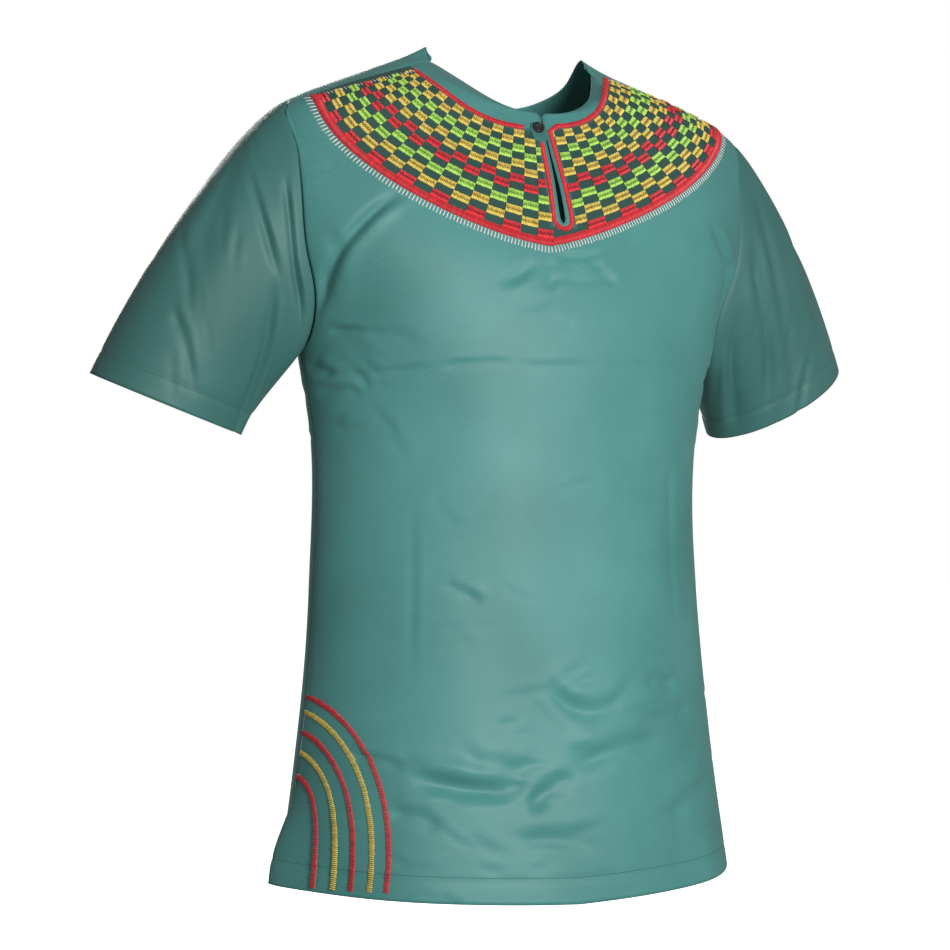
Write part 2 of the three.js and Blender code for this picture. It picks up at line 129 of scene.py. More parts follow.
def neck_share(x, z):
    """The share of the neck's pull that a place gets, from 0 to 1."""
    return smooth((z - NECK_PULL_FOOT) / NECK_PULL_RISE) * np.exp(-((x - NECK_PULL_X) / NECK_PULL_REACH) ** 2)


def torso_point(angle, z):
    """A point of the torso: angle 0 is centre front, a quarter turn the wearer's left side."""
    angle, z = np.broadcast_arrays(np.asarray(angle, float), np.asarray(z, float))
    half, front, back, roundness, corner, middle = np.moveaxis(section_at(z), -1, 0)
    sine = np.sin(angle)
    reach = np.maximum(1 - np.abs(sine) ** roundness, 0) ** (corner / 2)
    deep = np.where(np.cos(angle) >= 0, -front, back)
    x = half * sine
    near_neck = neck_share(x, z)
    return np.stack([x - NECK_PULL * near_neck, middle + deep * reach, z + 2.5 * near_neck], -1)


def unit(v):
    return v / np.maximum(np.linalg.norm(v, axis=-1, keepdims=True), 1e-12)


def torso_normal(angle, z):
    step = 0.02
    around = torso_point(angle + step, z) - torso_point(angle - step, z)
    up = torso_point(angle, np.asarray(z) + 1) - torso_point(angle, np.asarray(z) - 1)
    return unit(np.cross(around, up))


def angle_of_x(x, z):
    return np.arcsin(np.clip(x / section_at(z)[..., 0], -1, 1))


def angle_of_depth(distance, z, is_front):
    section = section_at(z)
    depth = section[..., 1] if is_front else section[..., 2]
    reach = np.clip(distance / depth, 0, 1)
    sine = (1 - reach ** (2 / section[..., 4])) ** (1 / section[..., 3])
    angle = np.arcsin(sine)
    return angle if is_front else math.pi - angle


# ---- edges of the panels, as (angle, z) ---------------------------------------
def armhole_edge(turn):
    """turn 0 is the armhole's top, a half turn the underarm; positive turns are in front."""
    turn = np.asarray(turn, float)
    middle = (ARMHOLE_TOP + UNDERARM) / 2
    z = middle + (ARMHOLE_TOP - middle) * np.cos(turn)
    sine = np.abs(np.sin(turn)) ** 0.9
    front = angle_of_depth(ARMHOLE_FRONT * sine, z, True)
    back = angle_of_depth(ARMHOLE_BACK * sine, z, False)
    return np.where(turn > 0, front, back), z


def side_edge(t, is_front):
    z = mix(HEM_SIDE, UNDERARM, t)
    opened = np.clip((VENT_TOP - z) / (VENT_TOP - HEM_SIDE), 0, 1)
    distance = (0.1 + VENT_SPREAD * opened**1.5) / 2
    return angle_of_depth(distance, z, is_front), z


def front_neck_edge(t):
    x = NECK_HALF_WIDTH * np.sin(t * math.pi / 2)
    z = mix(NECK_FRONT, NECK_SEAM, (x / NECK_HALF_WIDTH) ** NECK_CURVE)
    return angle_of_x(x, z), z


def ridge_neck_edge(t):
    z = mix(NECK_RIDGE, NECK_SEAM, t)
    x = mix(float(section_at(NECK_RIDGE)[0]), NECK_HALF_WIDTH, t)
    return np.where(t == 0, math.pi / 2, angle_of_x(x, z)), z


def back_neck_edge(t):
    return math.pi * (1 - t / 2), mix(NECK_BACK, NECK_RIDGE, smooth(t))


def slit_half_width(z):
    """Half the gap of the keyhole slit: round at its foot and at its two upper corners."""
    up = np.clip((z - SLIT_BOTTOM) / (NECK_FRONT - SLIT_BOTTOM), 0, 1)
    gap = mix(2.6, 0.8, smooth((up - 0.1) / 0.6)) * np.sqrt(np.clip(up / 0.05, 0, 1))
    above = np.clip((z - NECK_FRONT) / SLIT_CORNER + 1, 0, 1)
    return gap + SLIT_CORNER * (1 - np.sqrt(1 - above**2))


def seam_angle(z, share):
    bow = SEAM_FORWARD_BOW * np.sin(math.pi * share)
    return angle_of_depth(mix(SEAM_FORWARD_NECK, SEAM_FORWARD_ARM, share) + bow, z, True)


# ---- grids of the panels --------------------------------------------------------
# rows below the underarm, of the chest, along the slit and along the neckline
SIDE_ROWS, CHEST_ROWS, SLIT_ROWS, NECK_ROWS = 150, 34, 34, 30
ARM_ROWS = CHEST_ROWS + SLIT_ROWS + NECK_ROWS
RIDGE_ROWS = 14
BACK_NECK_ROWS = 24
COLUMNS = 80


def stack_edges(parts):
    angle = np.concatenate([np.broadcast_to(a, np.shape(z)) for a, z in parts])
    return angle, np.concatenate([z for a, z in parts])


def steps(count, first=1):
    return np.arange(first, count + 1) / count


def front_edges():
    low = steps(SIDE_ROWS, 0)
    slit_z = mix(SLIT_BOTTOM, NECK_FRONT, (1 - np.cos(math.pi * steps(SLIT_ROWS))) / 2)
    inner = stack_edges([
        (0.0, mix(HEM_CENTRE, CHEST_ROW, low)),
        (0.0, mix(CHEST_ROW, SLIT_BOTTOM, steps(CHEST_ROWS))),
        (angle_of_x(slit_half_width(slit_z), slit_z), slit_z),
        front_neck_edge(mix(0.045, 1.0, steps(NECK_ROWS))),
    ])
    outer = stack_edges([
        side_edge(low, True),
        armhole_edge(mix(math.pi, ARMHOLE_SEAM_ANGLE, steps(ARM_ROWS))),
    ])
    return inner, outer


def back_edges():
    low = steps(SIDE_ROWS, 0)
    chest = ARM_ROWS - BACK_NECK_ROWS
    inner = stack_edges([
        (math.pi, mix(HEM_CENTRE, CHEST_ROW, low)),
        (math.pi, mix(CHEST_ROW, NECK_BACK, steps(chest))),
        back_neck_edge(steps(BACK_NECK_ROWS)),
        ridge_neck_edge(steps(RIDGE_ROWS)),
    ])
    outer = stack_edges([
        side_edge(low, False),
        armhole_edge(-math.pi * (1 - steps(ARM_ROWS))),
        armhole_edge(ARMHOLE_SEAM_ANGLE * steps(RIDGE_ROWS)),
    ])
    return inner, outer


def half_panel(edges, seam_rows):
    """Angles and heights of one half of a panel: a row for each height, from the inner edge out."""
    (inner_angle, inner_z), (outer_angle, outer_z) = edges
    t = np.arange(COLUMNS + 1)[None, :] / COLUMNS
    z = mix(inner_z[:, None], outer_z[:, None], t)
    angle = mix(inner_angle[:, None], outer_angle[:, None], t)
    count = len(inner_z)
    share = np.clip((np.arange(count) - (count - 1) + seam_rows) / seam_rows, 0, 1)[:, None] ** 2
    ends = (t == 0) | (t == 1)
    angle = np.where(ends, angle, mix(angle, seam_angle(z[-1:], t), share))
    return angle, z


# ---- creases -----------------------------------------------------------------------
# each crease: panel, its two ends and the sag of its middle (x, z in mm), depth, width
CREASES = [
    # the pressed fold across the chest, broken into uneven stretches
    ("front", -196, -293, -112, -288, -3, 1.1, 2.8),
    ("front", -118, -290, -50, -286, 2, 0.7, 2.8),
    ("front", -56, -287, 40, -283, -2, 0.5, 3.2),
    ("front", 20, -288, 150, -289, 4, 0.4, 3.6),
    # short creases under the wearer's right arm
    ("front", -196, -257, -170, -260, 2, 1.4, 3.5),
    ("front", -201, -281, -186, -296, -2, 1.6, 3.5),
    ("front", -197, -309, -168, -312, 3, 1.5, 4.0),
    ("front", -180, -292, -164, -310, 2, 1.2, 3.0),
    ("front", -200, -334, -176, -330, -2, 0.9, 4.0),
    # folds that run from the armhole down to the underarm
    ("front", -138, -134, -205, -262, -24, 3.0, 4.6),
    ("front", -200, -170, -206, -250, 5, 1.8, 6.0),
    ("front", 158, -142, 204, -256, 18, 2.2, 5.0),
    ("front", 203, -168, 203, -250, -6, 1.8, 7.0),
    ("front", 188, -272, 182, -330, 5, 2.4, 9.0),
    # the long pressed fold down the right of the front, and a fainter one on the left
    ("front", -133, -400, -138, -580, 2, 0.45, 3.2),
    ("front", 118, -360, 126, -520, -4, 0.7, 5.0),
    ("front", -111, -478, -76, -499, 2, 1.0, 4.0),
    # buckles over the seat
    ("front", -144, -643, -36, -653, -8, 4.4, 8.0),
    ("front", -100, -632, -30, -640, -3, 1.8, 9.0),
    ("front", -6, -640, 112, -616, 4, 2.4, 9.0),
    ("front", -44, -676, 4, -646, 6, 2.3, 7.0),
    ("front", -24, -567, 64, -567, -24, 2.2, 8.0),
    ("front", 78, -566, 122, -573, 2, 1.8, 6.0),
    ("front", -182, -628, -140, -639, 2, 1.6, 4.0),
    ("front", -158, -675, -116, -692, 4, 1.6, 6.0),
    ("front", 60, -600, 150, -588, -6, 1.5, 9.0),
    ("front", 100, -690, 176, -664, 6, 1.8, 9.0),
    ("front", -60, -700, 30, -712, 5, 1.3, 8.0),
    # gathers under the point of the bib and the thin crease beside it
    ("front", -16, -189, 46, -179, -5, 1.3, 2.6),
    ("front", -28, -194, -70, -218, 3, 1.2, 5.0),
    ("front", -16, -192, -22, -226, 2, 1.0, 5.0),
    ("front", 24, -190, 50, -214, -3, 0.9, 5.0),
    # the back: folds from the armholes, a pressed cross fold, buckles at waist and seat
    ("back", -190, -150, -168, -292, 10, 4.0, 11.0),
    ("back", 192, -146, 160, -280, -8, 4.4, 11.0),
    ("back", -160, -208, -196, -262, 4, 2.4, 8.0),
    ("back", 164, -206, 198, -268, -3, 2.2, 8.0),
    ("back", -150, -292, -60, -289, 2, 1.3, 3.2),
    ("back", -30, -286, 44, -288, -2, 1.4, 3.0),
    ("back", 70, -294, 150, -290, 2, 1.1, 3.2),
    ("back", -150, -452, 40, -480, -14, 4.2, 12.0),
    ("back", -60, -430, 140, -410, 10, 3.6, 12.0),
    ("back", -110, -512, 60, -520, -8, 3.0, 11.0),
    ("back", 20, -560, 168, -530, 8, 3.0, 11.0),
    ("back", -164, -600, -30, -620, -6, 2.6, 10.0),
    ("back", -20, -664, 138, -632, 9, 3.4, 11.0),
    ("back", -130, -690, -20, -700, 4, 2.0, 9.0),
    ("back", 6, -90, 4, -250, 3, 1.0, 10.0),
    ("back", -74, -120, -30, -190, 6, 1.6, 12.0),
    ("back", 80, -118, 34, -196, -6, 1.7, 12.0),
    ("back", 128, -360, 134, -560, -3, 1.0, 4.0),
]

# patches of small wrinkles: panel, middle (x, z), half sizes of the patch, how many, the
# slant of most of them in degrees, their greatest depth
WRINKLES = [
    ("front", 40, -640, 150, 70, 34, 8, 0.8),
    ("front", -120, -700, 80, 46, 20, -18, 0.7),
    ("front", -185, -300, 26, 60, 15, -20, 0.6),
    ("front", 172, -300, 30, 80, 12, 25, 0.5),
    ("front", 10, -470, 170, 110, 14, 4, 0.5),
    ("front", -20, -240, 120, 40, 9, 10, 0.5),
    ("back", 0, -620, 170, 90, 38, 6, 1.6),
    ("back", 0, -450, 170, 80, 30, 0, 1.5),
    ("back", -170, -270, 34, 80, 15, 22, 1.4),
    ("back", 170, -270, 34, 80, 15, -22, 1.4),
    ("back", 0, -180, 140, 60, 12, 4, 0.9),
]


def scattered_creases():
    """The wrinkle patches spelt out as single creases, in the creases' own columns."""
    rows = []
    for panel, x, z, half_x, half_z, count, slant, deepest in WRINKLES:
        for _ in range(count):
            x0 = x + rng.uniform(-half_x, half_x)
            z0 = z + rng.uniform(-half_z, half_z)
            turn = math.radians(slant + rng.normal(0, 20))
            length = rng.uniform(16, 62)
            run_x, run_z = length * math.cos(turn), length * math.sin(turn)
            rows.append((panel, x0, z0, x0 + run_x, z0 + run_z, rng.uniform(-6, 6),
                         deepest * rng.uniform(0.4, 1.2), rng.uniform(2.6, 5.6)))
    return rows


# slow waves of the cloth: panel, x and z of a wave's length in mm, amplitude, phase
WAVES = [
    ("front", 260, 900, 1.6, 0.4),
    ("front", 150, -520, 0.9, 2.2),
    ("front", 96, 300, 0.5, 4.1),
    ("back", 230, 800, 2.2, 1.3),
    ("back", 140, -460, 1.2, 3.0),
    ("back", 90, 310, 0.6, 0.7),
]


CREASE_DEPTH = 1.6          # the table's depths are multiplied by this
COLUMN_PITCH = 4.4          # rough spacing of a panel's columns and rows near its seams
ROW_PITCH = 4.0
SEAM_DIP_WIDTH = 3.4
FLARE_BACKWARD = {"front": 0.45, "back": 0.1}
ALL_CREASES = [(*row[:6], row[6] * CREASE_DEPTH, row[7]) for row in CREASES] + scattered_creases()


def crease_depth(x0, y0, x1, y1, sag, depth, width, x, y):
    """The pull of one crease: a trough along a bowed line with a soft ridge beside it."""
    run = np.array([x1 - x0, y1 - y0], float)
    length = float(np.hypot(*run))
    along_dir = run / length
    across_dir = np.array([-along_dir[1], along_dir[0]])
    dx, dy = x - x0, y - y0
    along = (dx * along_dir[0] + dy * along_dir[1]) / length
    bow = sag * 4 * along * (1 - along)
    across = dx * across_dir[0] + dy * across_dir[1] - bow
    inside = np.clip(along, 0, 1)
    taper = smooth(inside / 0.22) * smooth((1 - inside) / 0.34)
    beyond = np.maximum(np.maximum(-along, along - 1), 0) * length
    fade = np.exp(-(beyond / width) ** 2)
    wobble = 1 + 0.25 * np.sin(9 * along + depth * 5)
    trough = np.exp(-(across / width) ** 2)
    ridge = 0.45 * np.exp(-((across - 1.9 * width) / (1.2 * width)) ** 2)
    return depth * wobble * taper * fade * (trough - ridge)


def panel_push(panel, x, z):
    """How far the creases and waves push a panel in, in mm."""
    push = np.zeros_like(x)
    for name, x0, z0, x1, z1, sag, depth, width in ALL_CREASES:
        if name == panel:
            push += crease_depth(x0, z0, x1, z1, sag, depth, width, x, z)
    for name, wave_x, wave_z, amplitude, phase in WAVES:
        if name == panel:
            low = smooth((-z - 260) / 300) * 0.8 + 0.2
            push += amplitude * low * np.sin(2 * math.pi * (x / wave_x + z / wave_z) + phase)
    return push


# ---- meshes ----------------------------------------------------------------------------
def make_object(name, verts, faces, uvs=None):
    mesh = bpy.data.meshes.new(name)
    mesh.from_pydata((np.asarray(verts) * MM).tolist(), [], [tuple(map(int, f)) for f in faces])
    if uvs is not None:
        layer = mesh.uv_layers.new(name="cloth")
        loops = np.zeros(len(mesh.loops), int)
        mesh.loops.foreach_get("vertex_index", loops)
        layer.data.foreach_set("uv", np.asarray(uvs)[loops].astype(np.float32).ravel())
    mesh.polygons.foreach_set("use_smooth", np.ones(len(mesh.polygons), bool))
    mesh.validate()
    obj = bpy.data.objects.new(name, mesh)
    bpy.context.scene.collection.objects.link(obj)
    return obj


def paint(obj, name, values):
    """Keeps a grey value for each point, or one for all, as a colour attribute."""
    grey = np.broadcast_to(np.asarray(values, float), len(obj.data.vertices))
    layer = obj.data.color_attributes.new(name, "FLOAT_COLOR", "POINT")
    layer.data.foreach_set("color", np.stack([grey, grey, grey, np.ones_like(grey)], -1).ravel())


def vertex_normals(points, quads):
    a, b, c, d = (points[quads[:, i]] for i in range(4))
    flat = np.cross(c - a, d - b)
    normals = np.zeros_like(points)
    for i in range(4):
        np.add.at(normals, quads[:, i], flat)
    return unit(normals)


def shell(name, points, quads, uvs, wall=CLOTH):
    """A closed thin shell: the sheet, its copy moved in by the wall, and the rims."""
    quads = np.asarray(quads)
    used = np.unique(quads)
    remap = np.full(len(points), -1)
    remap[used] = np.arange(len(used))
    points, uvs, quads = points[used], uvs[used], remap[quads]
    normals = vertex_normals(points, quads)
    count = len(points)
    verts = np.concatenate([points, points - wall * normals])
    edges = {}
    for quad in quads.tolist():
        for i in range(4):
            edges[(quad[i], quad[(i + 1) % 4])] = True
    rims = [(b, a, a + count, b + count) for a, b in edges if (b, a) not in edges]
    faces = quads.tolist() + (quads[:, ::-1] + count).tolist() + rims
    return make_object(name, verts, faces, np.concatenate([uvs, uvs]))


def grid_quads(index, flip):
    quads = np.stack([index[:-1, :-1], index[:-1, 1:], index[1:, 1:], index[1:, :-1]], -1)
    quads = quads.reshape(-1, 4)
    return quads[:, ::-1] if flip else quads


def arc_uv(points):
    """Cloth coordinates in metres: across along the rows, up along the middle column."""
    across = np.linalg.norm(np.diff(points, axis=1), axis=-1)
    across = np.concatenate([np.zeros((len(points), 1)), np.cumsum(across, axis=1)], 1)
    up = points[:, :1, 2].repeat(points.shape[1], 1)
    return np.stack([across, up], -1) * MM


STITCH_LINES = []


def note_stitches(points, normals, rows=(), columns=()):
    """Keeps rows and columns of a cloth grid as places for lines of stitches."""
    for row, first, last in rows:
        STITCH_LINES.append((points[row, first:last].copy(), normals[row, first:last].copy()))
    for column, first, last in columns:
        STITCH_LINES.append((points[first:last, column].copy(), normals[first:last, column].copy()))


def shape_half(name, side, edges, seam_rows):
    """Points of one half panel with creases, seam dips and turned-in allowances."""
    angle, z = half_panel(edges, seam_rows)
    points = torso_point(side * angle, z)
    normals = torso_normal(side * angle, z)
    rows, columns = z.shape
    push = panel_push(name, points[..., 0], points[..., 2])
    from_side = (columns - 1 - np.arange(columns))[None, :] * COLUMN_PITCH
    from_top = (rows - 1 - np.arange(rows))[:, None] * ROW_PITCH
    row_step = (UNDERARM - HEM_SIDE) / SIDE_ROWS
    sewn = np.where(np.arange(rows)[:, None] * row_step + HEM_SIDE < VENT_TOP, 0.0, 1.0)
    push *= smooth(from_side / 26) * sewn + (1 - sewn)
    push *= smooth(from_top / 20)
    dip = 0.8 * np.exp(-(from_side / SEAM_DIP_WIDTH) ** 2) * sewn
    dip = dip + 1.3 * np.exp(-(from_top / SEAM_DIP_WIDTH) ** 2)
    hem_edge = mix(HEM_CENTRE, HEM_SIDE, (np.arange(columns) / (columns - 1)) ** 2)
    dip = dip + 0.7 * np.exp(-((points[..., 2] - hem_edge - HEM_DEPTH) / 3.0) ** 2)
    points = points - (push + dip)[..., None] * normals
    flap = smooth((VENT_TOP - points[..., 2]) / FLARE_HEIGHT) * np.exp(-(from_side / 60) ** 2)
    reach = VENT_FLARE[(name, side)]
    points[..., 0] += side * reach * flap
    points[..., 1] += FLARE_BACKWARD[name] * reach * flap
    hem_row = round(HEM_DEPTH / row_step)
    vent_column = columns - 3
    vent_rows = int((VENT_TOP - HEM_SIDE) / row_step)
    note_stitches(points, normals, rows=[(hem_row, 0, vent_column), (-2, 2, columns - 2)],
                  columns=[(vent_column, hem_row, vent_rows)])
    turned = points[:, -1:] - ALLOWANCE * normals[:, -1:]
    first_sewn = int(np.argmax(sewn[:, 0] > 0))
    turned[:first_sewn] = points[:first_sewn, -1:] - 0.2 * normals[:first_sewn, -1:]
    points = np.concatenate([points, turned], 1)
    turned_in = mix(CLOTH + 0.3, ALLOWANCE, smooth(np.arange(columns + 1) / 7))[None, :, None]
    top = points[-1:] - turned_in * np.concatenate([normals[-1:], normals[-1:, -1:]], 1)
    return np.concatenate([points, top], 0)


def build_panel(name, edges, seam_rows, shared_rows):
    is_front = name == "front"
    halves = [shape_half(name, side, edges, seam_rows) for side in (1, -1)]
    rows, columns, _ = halves[0].shape
    index_left = np.arange(rows * columns).reshape(rows, columns)
    index_right = index_left + rows * columns
    index_right[:shared_rows + 1, 0] = index_left[:shared_rows + 1, 0]
    quads = np.concatenate([grid_quads(index_left, not is_front), grid_quads(index_right, is_front)])
    points = np.concatenate([half.reshape(-1, 3) for half in halves])
    uv_left, uv_right = arc_uv(halves[0]), arc_uv(halves[1])
    uv_right[..., 0] *= -1
    uvs = np.concatenate([uv_left.reshape(-1, 2), uv_right.reshape(-1, 2)])
    return shell(name + "_cloth", points, quads, uvs)


# ---- sleeves -----------------------------------------------------------------------------
# side, centre, half width, rise of the outer end, half depth, drop of the front
SLEEVES = {
    "right": dict(side=-1, centre=(316, 52, -318), half=68, rise=23, deep=56, drop=13),
    "left": dict(side=1, centre=(316, 52, -297), half=69, rise=37, deep=56, drop=17),
}
CUFF_TURN = math.radians(8)
CAP_DIRECTION = unit(np.array([0.86, 0.05, -0.5]))
UNDERARM_DIRECTION = unit(np.array([0.45, 0.1, -0.88]))
CUFF_DIRECTION = unit(np.array([0.41, 0.16, -0.9]))
CAP_FULLNESS = 0.6
UNDERARM_FULLNESS = 0.7
CUFF_FULLNESS = 0.9
SLEEVE_PAINTED_SHADE = 0.52         # painted shade: how far the sleeves' cloth is mixed towards the darkest green, darker than the lights make it
SLEEVE_RINGS = 72
SLEEVE_ROUND = 132
SLEEVE_RADIUS = 64.0        # turns a sleeve's angle into mm for its creases
SLEEVE_WRINKLES = 46

# creases of a sleeve: sleeve, along (mm from the seam) and round (degrees, 0 top, + front)
# of both ends, sag, depth, width
SLEEVE_CREASES = [
    ("right", 20, 62, 25, 136, 4, 2.5, 4.4),
    ("right", 60, 40, 36, 104, -5, 1.9, 4.2),
    ("right", 44, 96, 160, 150, 7, 2.7, 6.0),
    ("right", 196, 42, 190, 88, 5, 1.6, 5.0),
    ("right", 214, 100, 204, 134, -4, 1.6, 5.0),
    ("right", 150, 12, 176, 60, 4, 1.0, 6.0),
    ("right", 40, 20, 180, 40, 6, 1.2, 12.0),
    ("right", 24, -70, 150, -96, 8, 3.0, 10.0),
    ("right", 30, -120, 140, -136, -6, 3.0, 9.0),
    ("right", 188, -50, 176, -110, 6, 1.6, 6.0),
    ("left", 16, 48, 190, 84, 8, 2.2, 9.0),
    ("left", 14, 84, 150, 112, -6, 3.2, 9.0),
    ("left", 22, 118, 120, 138, 6, 3.0, 8.0),
    ("left", 90, 10, 210, 34, 8, 1.6, 10.0),
    ("left", 180, 60, 206, 104, 5, 1.4, 6.0),
    ("left", 20, -66, 160, -92, -8, 3.0, 10.0),
    ("left", 26, -116, 130, -134, 6, 3.0, 9.0),
    ("left", 196, -46, 184, -100, -6, 1.6, 6.0),
]


def cuff_point(spec, turn):
    turn = np.asarray(turn)[..., None]
    cosine, sine = math.cos(CUFF_TURN), math.sin(CUFF_TURN)
    across = np.array([spec["half"] * cosine, -spec["half"] * sine, spec["rise"]])
    forward = np.array([-spec["deep"] * sine, -spec["deep"] * cosine, -spec["drop"]])
    return np.array(spec["centre"], float) + np.cos(turn) * across + np.sin(turn) * forward


def sleeve_base(spec, turn, t):
    """Points of the sleeve, on the wearer's left: turn round the armhole, t from seam to cuff."""
    angle, z = armhole_edge(turn)
    start = torso_point(angle, z)
    end = cuff_point(spec, turn)
    length = np.linalg.norm(end - start, axis=-1, keepdims=True)
    top = ((1 + np.cos(turn)) / 2)[..., None]
    leave = unit(mix(UNDERARM_DIRECTION, CAP_DIRECTION, top ** 1.5))
    pull = leave * length * mix(UNDERARM_FULLNESS, CAP_FULLNESS, top)
    arrive = CUFF_DIRECTION * length * CUFF_FULLNESS
    t = np.asarray(t)[..., None]
    return ((2 * t**3 - 3 * t**2 + 1) * start + (t**3 - 2 * t**2 + t) * pull
            + (3 * t**2 - 2 * t**3) * end + (t**3 - t**2) * arrive)


def sleeve_normal(spec, turn, t):
    around = sleeve_base(spec, turn - 0.02, t) - sleeve_base(spec, turn + 0.02, t)
    along = sleeve_base(spec, turn, t + 0.01) - sleeve_base(spec, turn, t - 0.01)
    return unit(np.cross(along, around))


def build_sleeve(name):
    spec = SLEEVES[name]
    turn = math.pi - 2 * math.pi * np.arange(SLEEVE_ROUND) / SLEEVE_ROUND + 1e-4
    t = np.arange(SLEEVE_RINGS + 1) / SLEEVE_RINGS
    turns, ts = np.meshgrid(turn, t, indexing="ij")
    points = sleeve_base(spec, turns, ts)
    normals = sleeve_normal(spec, turns, np.clip(ts, 0.012, 0.988))
    length = np.linalg.norm(np.diff(points, axis=1), axis=-1)
    along = np.concatenate([np.zeros((SLEEVE_ROUND, 1)), np.cumsum(length, axis=1)], 1)
    around = turns * SLEEVE_RADIUS
    push = np.zeros_like(along)
    for which, along0, round0, along1, round1, sag, depth, width in SLEEVE_CREASES:
        if which == name:
            start, end = math.radians(round0) * SLEEVE_RADIUS, math.radians(round1) * SLEEVE_RADIUS
            push += crease_depth(along0, start, along1, end, sag, depth * CREASE_DEPTH, width, along, around)
    for _ in range(SLEEVE_WRINKLES):
        along0, round0 = rng.uniform(8, 210), rng.uniform(-150, 150)
        lean = math.radians(rng.normal(62, 24))
        length = rng.uniform(16, 60)
        start = math.radians(round0) * SLEEVE_RADIUS
        end = start + length * math.sin(lean) * math.copysign(1, round0)
        sag, depth, width = rng.uniform(-5, 5), rng.uniform(0.1, 0.75), rng.uniform(3.0, 7.0)
        along1 = along0 + length * math.cos(lean)
        push += crease_depth(along0, start, along1, end, sag, depth, width, along, around)
    push += 0.8 * np.sin(3 * turns + along / 40) * smooth(along / 60)
    push *= smooth(along / 18)
    total = along[:, -1:]
    dip = 0.7 * np.exp(-(along / 3.2) ** 2) + 0.6 * np.exp(-((total - along - CUFF_HEM) / 2.6) ** 2)
    points = points - (push + dip)[..., None] * normals
    mirror = np.array([spec["side"], 1, 1])
    cuff_line = []
    for values in (points, normals):
        line = [[np.interp(total[i, 0] - CUFF_HEM, along[i], values[i, :, axis]) for axis in range(3)]
                for i in range(-1, SLEEVE_ROUND)]
        cuff_line.append(np.array(line) * mirror)
    STITCH_LINES.append(tuple(cuff_line))
    inward = points[:, :1] - ALLOWANCE * normals[:, :1]
    points = np.concatenate([inward, points], 1)
    uvs = np.stack([np.broadcast_to(turns[:, :1] * SLEEVE_RADIUS, points.shape[:2]),
                    -np.concatenate([-np.ones((SLEEVE_ROUND, 1)), along], 1)], -1) * MM
    index = np.arange(points.shape[0] * points.shape[1]).reshape(points.shape[:2])
    index = np.concatenate([index, index[:1]], 0)
    if spec["side"] < 0:
        points = points * [-1, 1, 1]
    quads = grid_quads(index, spec["side"] > 0)
    return shell("sleeve_%s_cloth" % name, points.reshape(-1, 3), quads[:, ::-1], uvs.reshape(-1, 2))


front = build_panel("front", front_edges(), NECK_ROWS, SIDE_ROWS + CHEST_ROWS)
back = build_panel("back", back_edges(), RIDGE_ROWS, SIDE_ROWS + ARM_ROWS - BACK_NECK_ROWS)
sleeve_right = build_sleeve("right")
sleeve_left = build_sleeve("left")
CLOTH_PIECES = [front, back, sleeve_right, sleeve_left]


# ---- materials -----------------------------------------------------------------------------
def new_material(name):
    material = bpy.data.materials.new(name)
    material.use_nodes = True
    nodes = material.node_tree.nodes
    links = material.node_tree.links
    shader = nodes["Principled BSDF"]
    return material, nodes, links, shader


def add_node(nodes, kind, **inputs):
    """A new shader node with these inputs set; an underscore stands for a space."""
    made = nodes.new("ShaderNode" + kind)
    for name, value in inputs.items():
        made.inputs[name.replace("_", " ")].default_value = value
    return made


def add_ramp(nodes, links, factor, *stops):
    """A ramp through (position, colour) stops, driven by the factor socket."""
    ramp = add_node(nodes, "ValToRGB")
    for element, (position, colour) in zip(ramp.color_ramp.elements, stops):
        element.position = position
        element.color = (*colour, 1)
    links.new(factor, ramp.inputs["Fac"])
    return ramp.outputs["Color"]


def add_bump(nodes, links, shader, height, strength, distance):
    bump = add_node(nodes, "Bump", Strength=strength, Distance=distance)
    links.new(height, bump.inputs["Height"])
    links.new(bump.outputs["Normal"], shader.inputs["Normal"])


def cloth_material():
    """Dark green sateen: a fine warp-faced weave, soft sheen and slight random tone changes, with painted
    shade mixed in by an attribute.
    """
    material, nodes, links, shader = new_material("green_sateen")
    coord = add_node(nodes, "TexCoord")
    weave = add_node(nodes, "Mapping", Scale=(1600, 700, 1), Rotation=(0, 0, 0.35))
    links.new(coord.outputs["UV"], weave.inputs["Vector"])
    threads = add_node(nodes, "TexNoise", Scale=1.0, Detail=3.0)
    links.new(weave.outputs["Vector"], threads.inputs["Vector"])
    mottle = add_node(nodes, "TexNoise", Scale=9.0, Detail=4.0)
    links.new(coord.outputs["Object"], mottle.inputs["Vector"])
    both = add_node(nodes, "Math")
    both.operation = "MULTIPLY_ADD"
    both.inputs[1].default_value = 0.55
    links.new(threads.outputs["Fac"], both.inputs[0])
    share = add_node(nodes, "Math")
    share.operation = "MULTIPLY"
    share.inputs[1].default_value = 0.45
    links.new(mottle.outputs["Fac"], share.inputs[0])
    links.new(share.outputs["Value"], both.inputs[2])
    green = add_ramp(nodes, links, both.outputs["Value"],
                     (0.36, (0.060, 0.232, 0.213)), (0.64, (0.100, 0.340, 0.316)))
    # painted shade: this attribute mixes the green towards a darker green on the sleeves, the tab and the
    # cloth between the bib's stitches
    painted_shade = add_node(nodes, "Attribute")
    painted_shade.attribute_name = "painted_shade"
    painted_shade_mix = nodes.new("ShaderNodeMix")
    painted_shade_mix.data_type = "RGBA"
    painted_shade_mix.inputs["B"].default_value = (0.030, 0.085, 0.072, 1)
    links.new(painted_shade.outputs["Fac"], painted_shade_mix.inputs["Factor"])
    links.new(green, painted_shade_mix.inputs["A"])
    links.new(painted_shade_mix.outputs["Result"], shader.inputs["Base Color"])
    rough = add_node(nodes, "MapRange", To_Min=0.42, To_Max=0.60)
    links.new(threads.outputs["Fac"], rough.inputs["Value"])
    links.new(rough.outputs["Result"], shader.inputs["Roughness"])
    add_bump(nodes, links, shader, threads.outputs["Fac"], 0.22, 0.0006)
    shader.inputs["Sheen Weight"].default_value = 0.12
    shader.inputs["Sheen Roughness"].default_value = 0.45
    shader.inputs["Sheen Tint"].default_value = (0.62, 0.85, 0.8, 1)
    shader.inputs["Specular IOR Level"].default_value = 0.4
    shader.inputs["Anisotropic"].default_value = 0.4
    return material


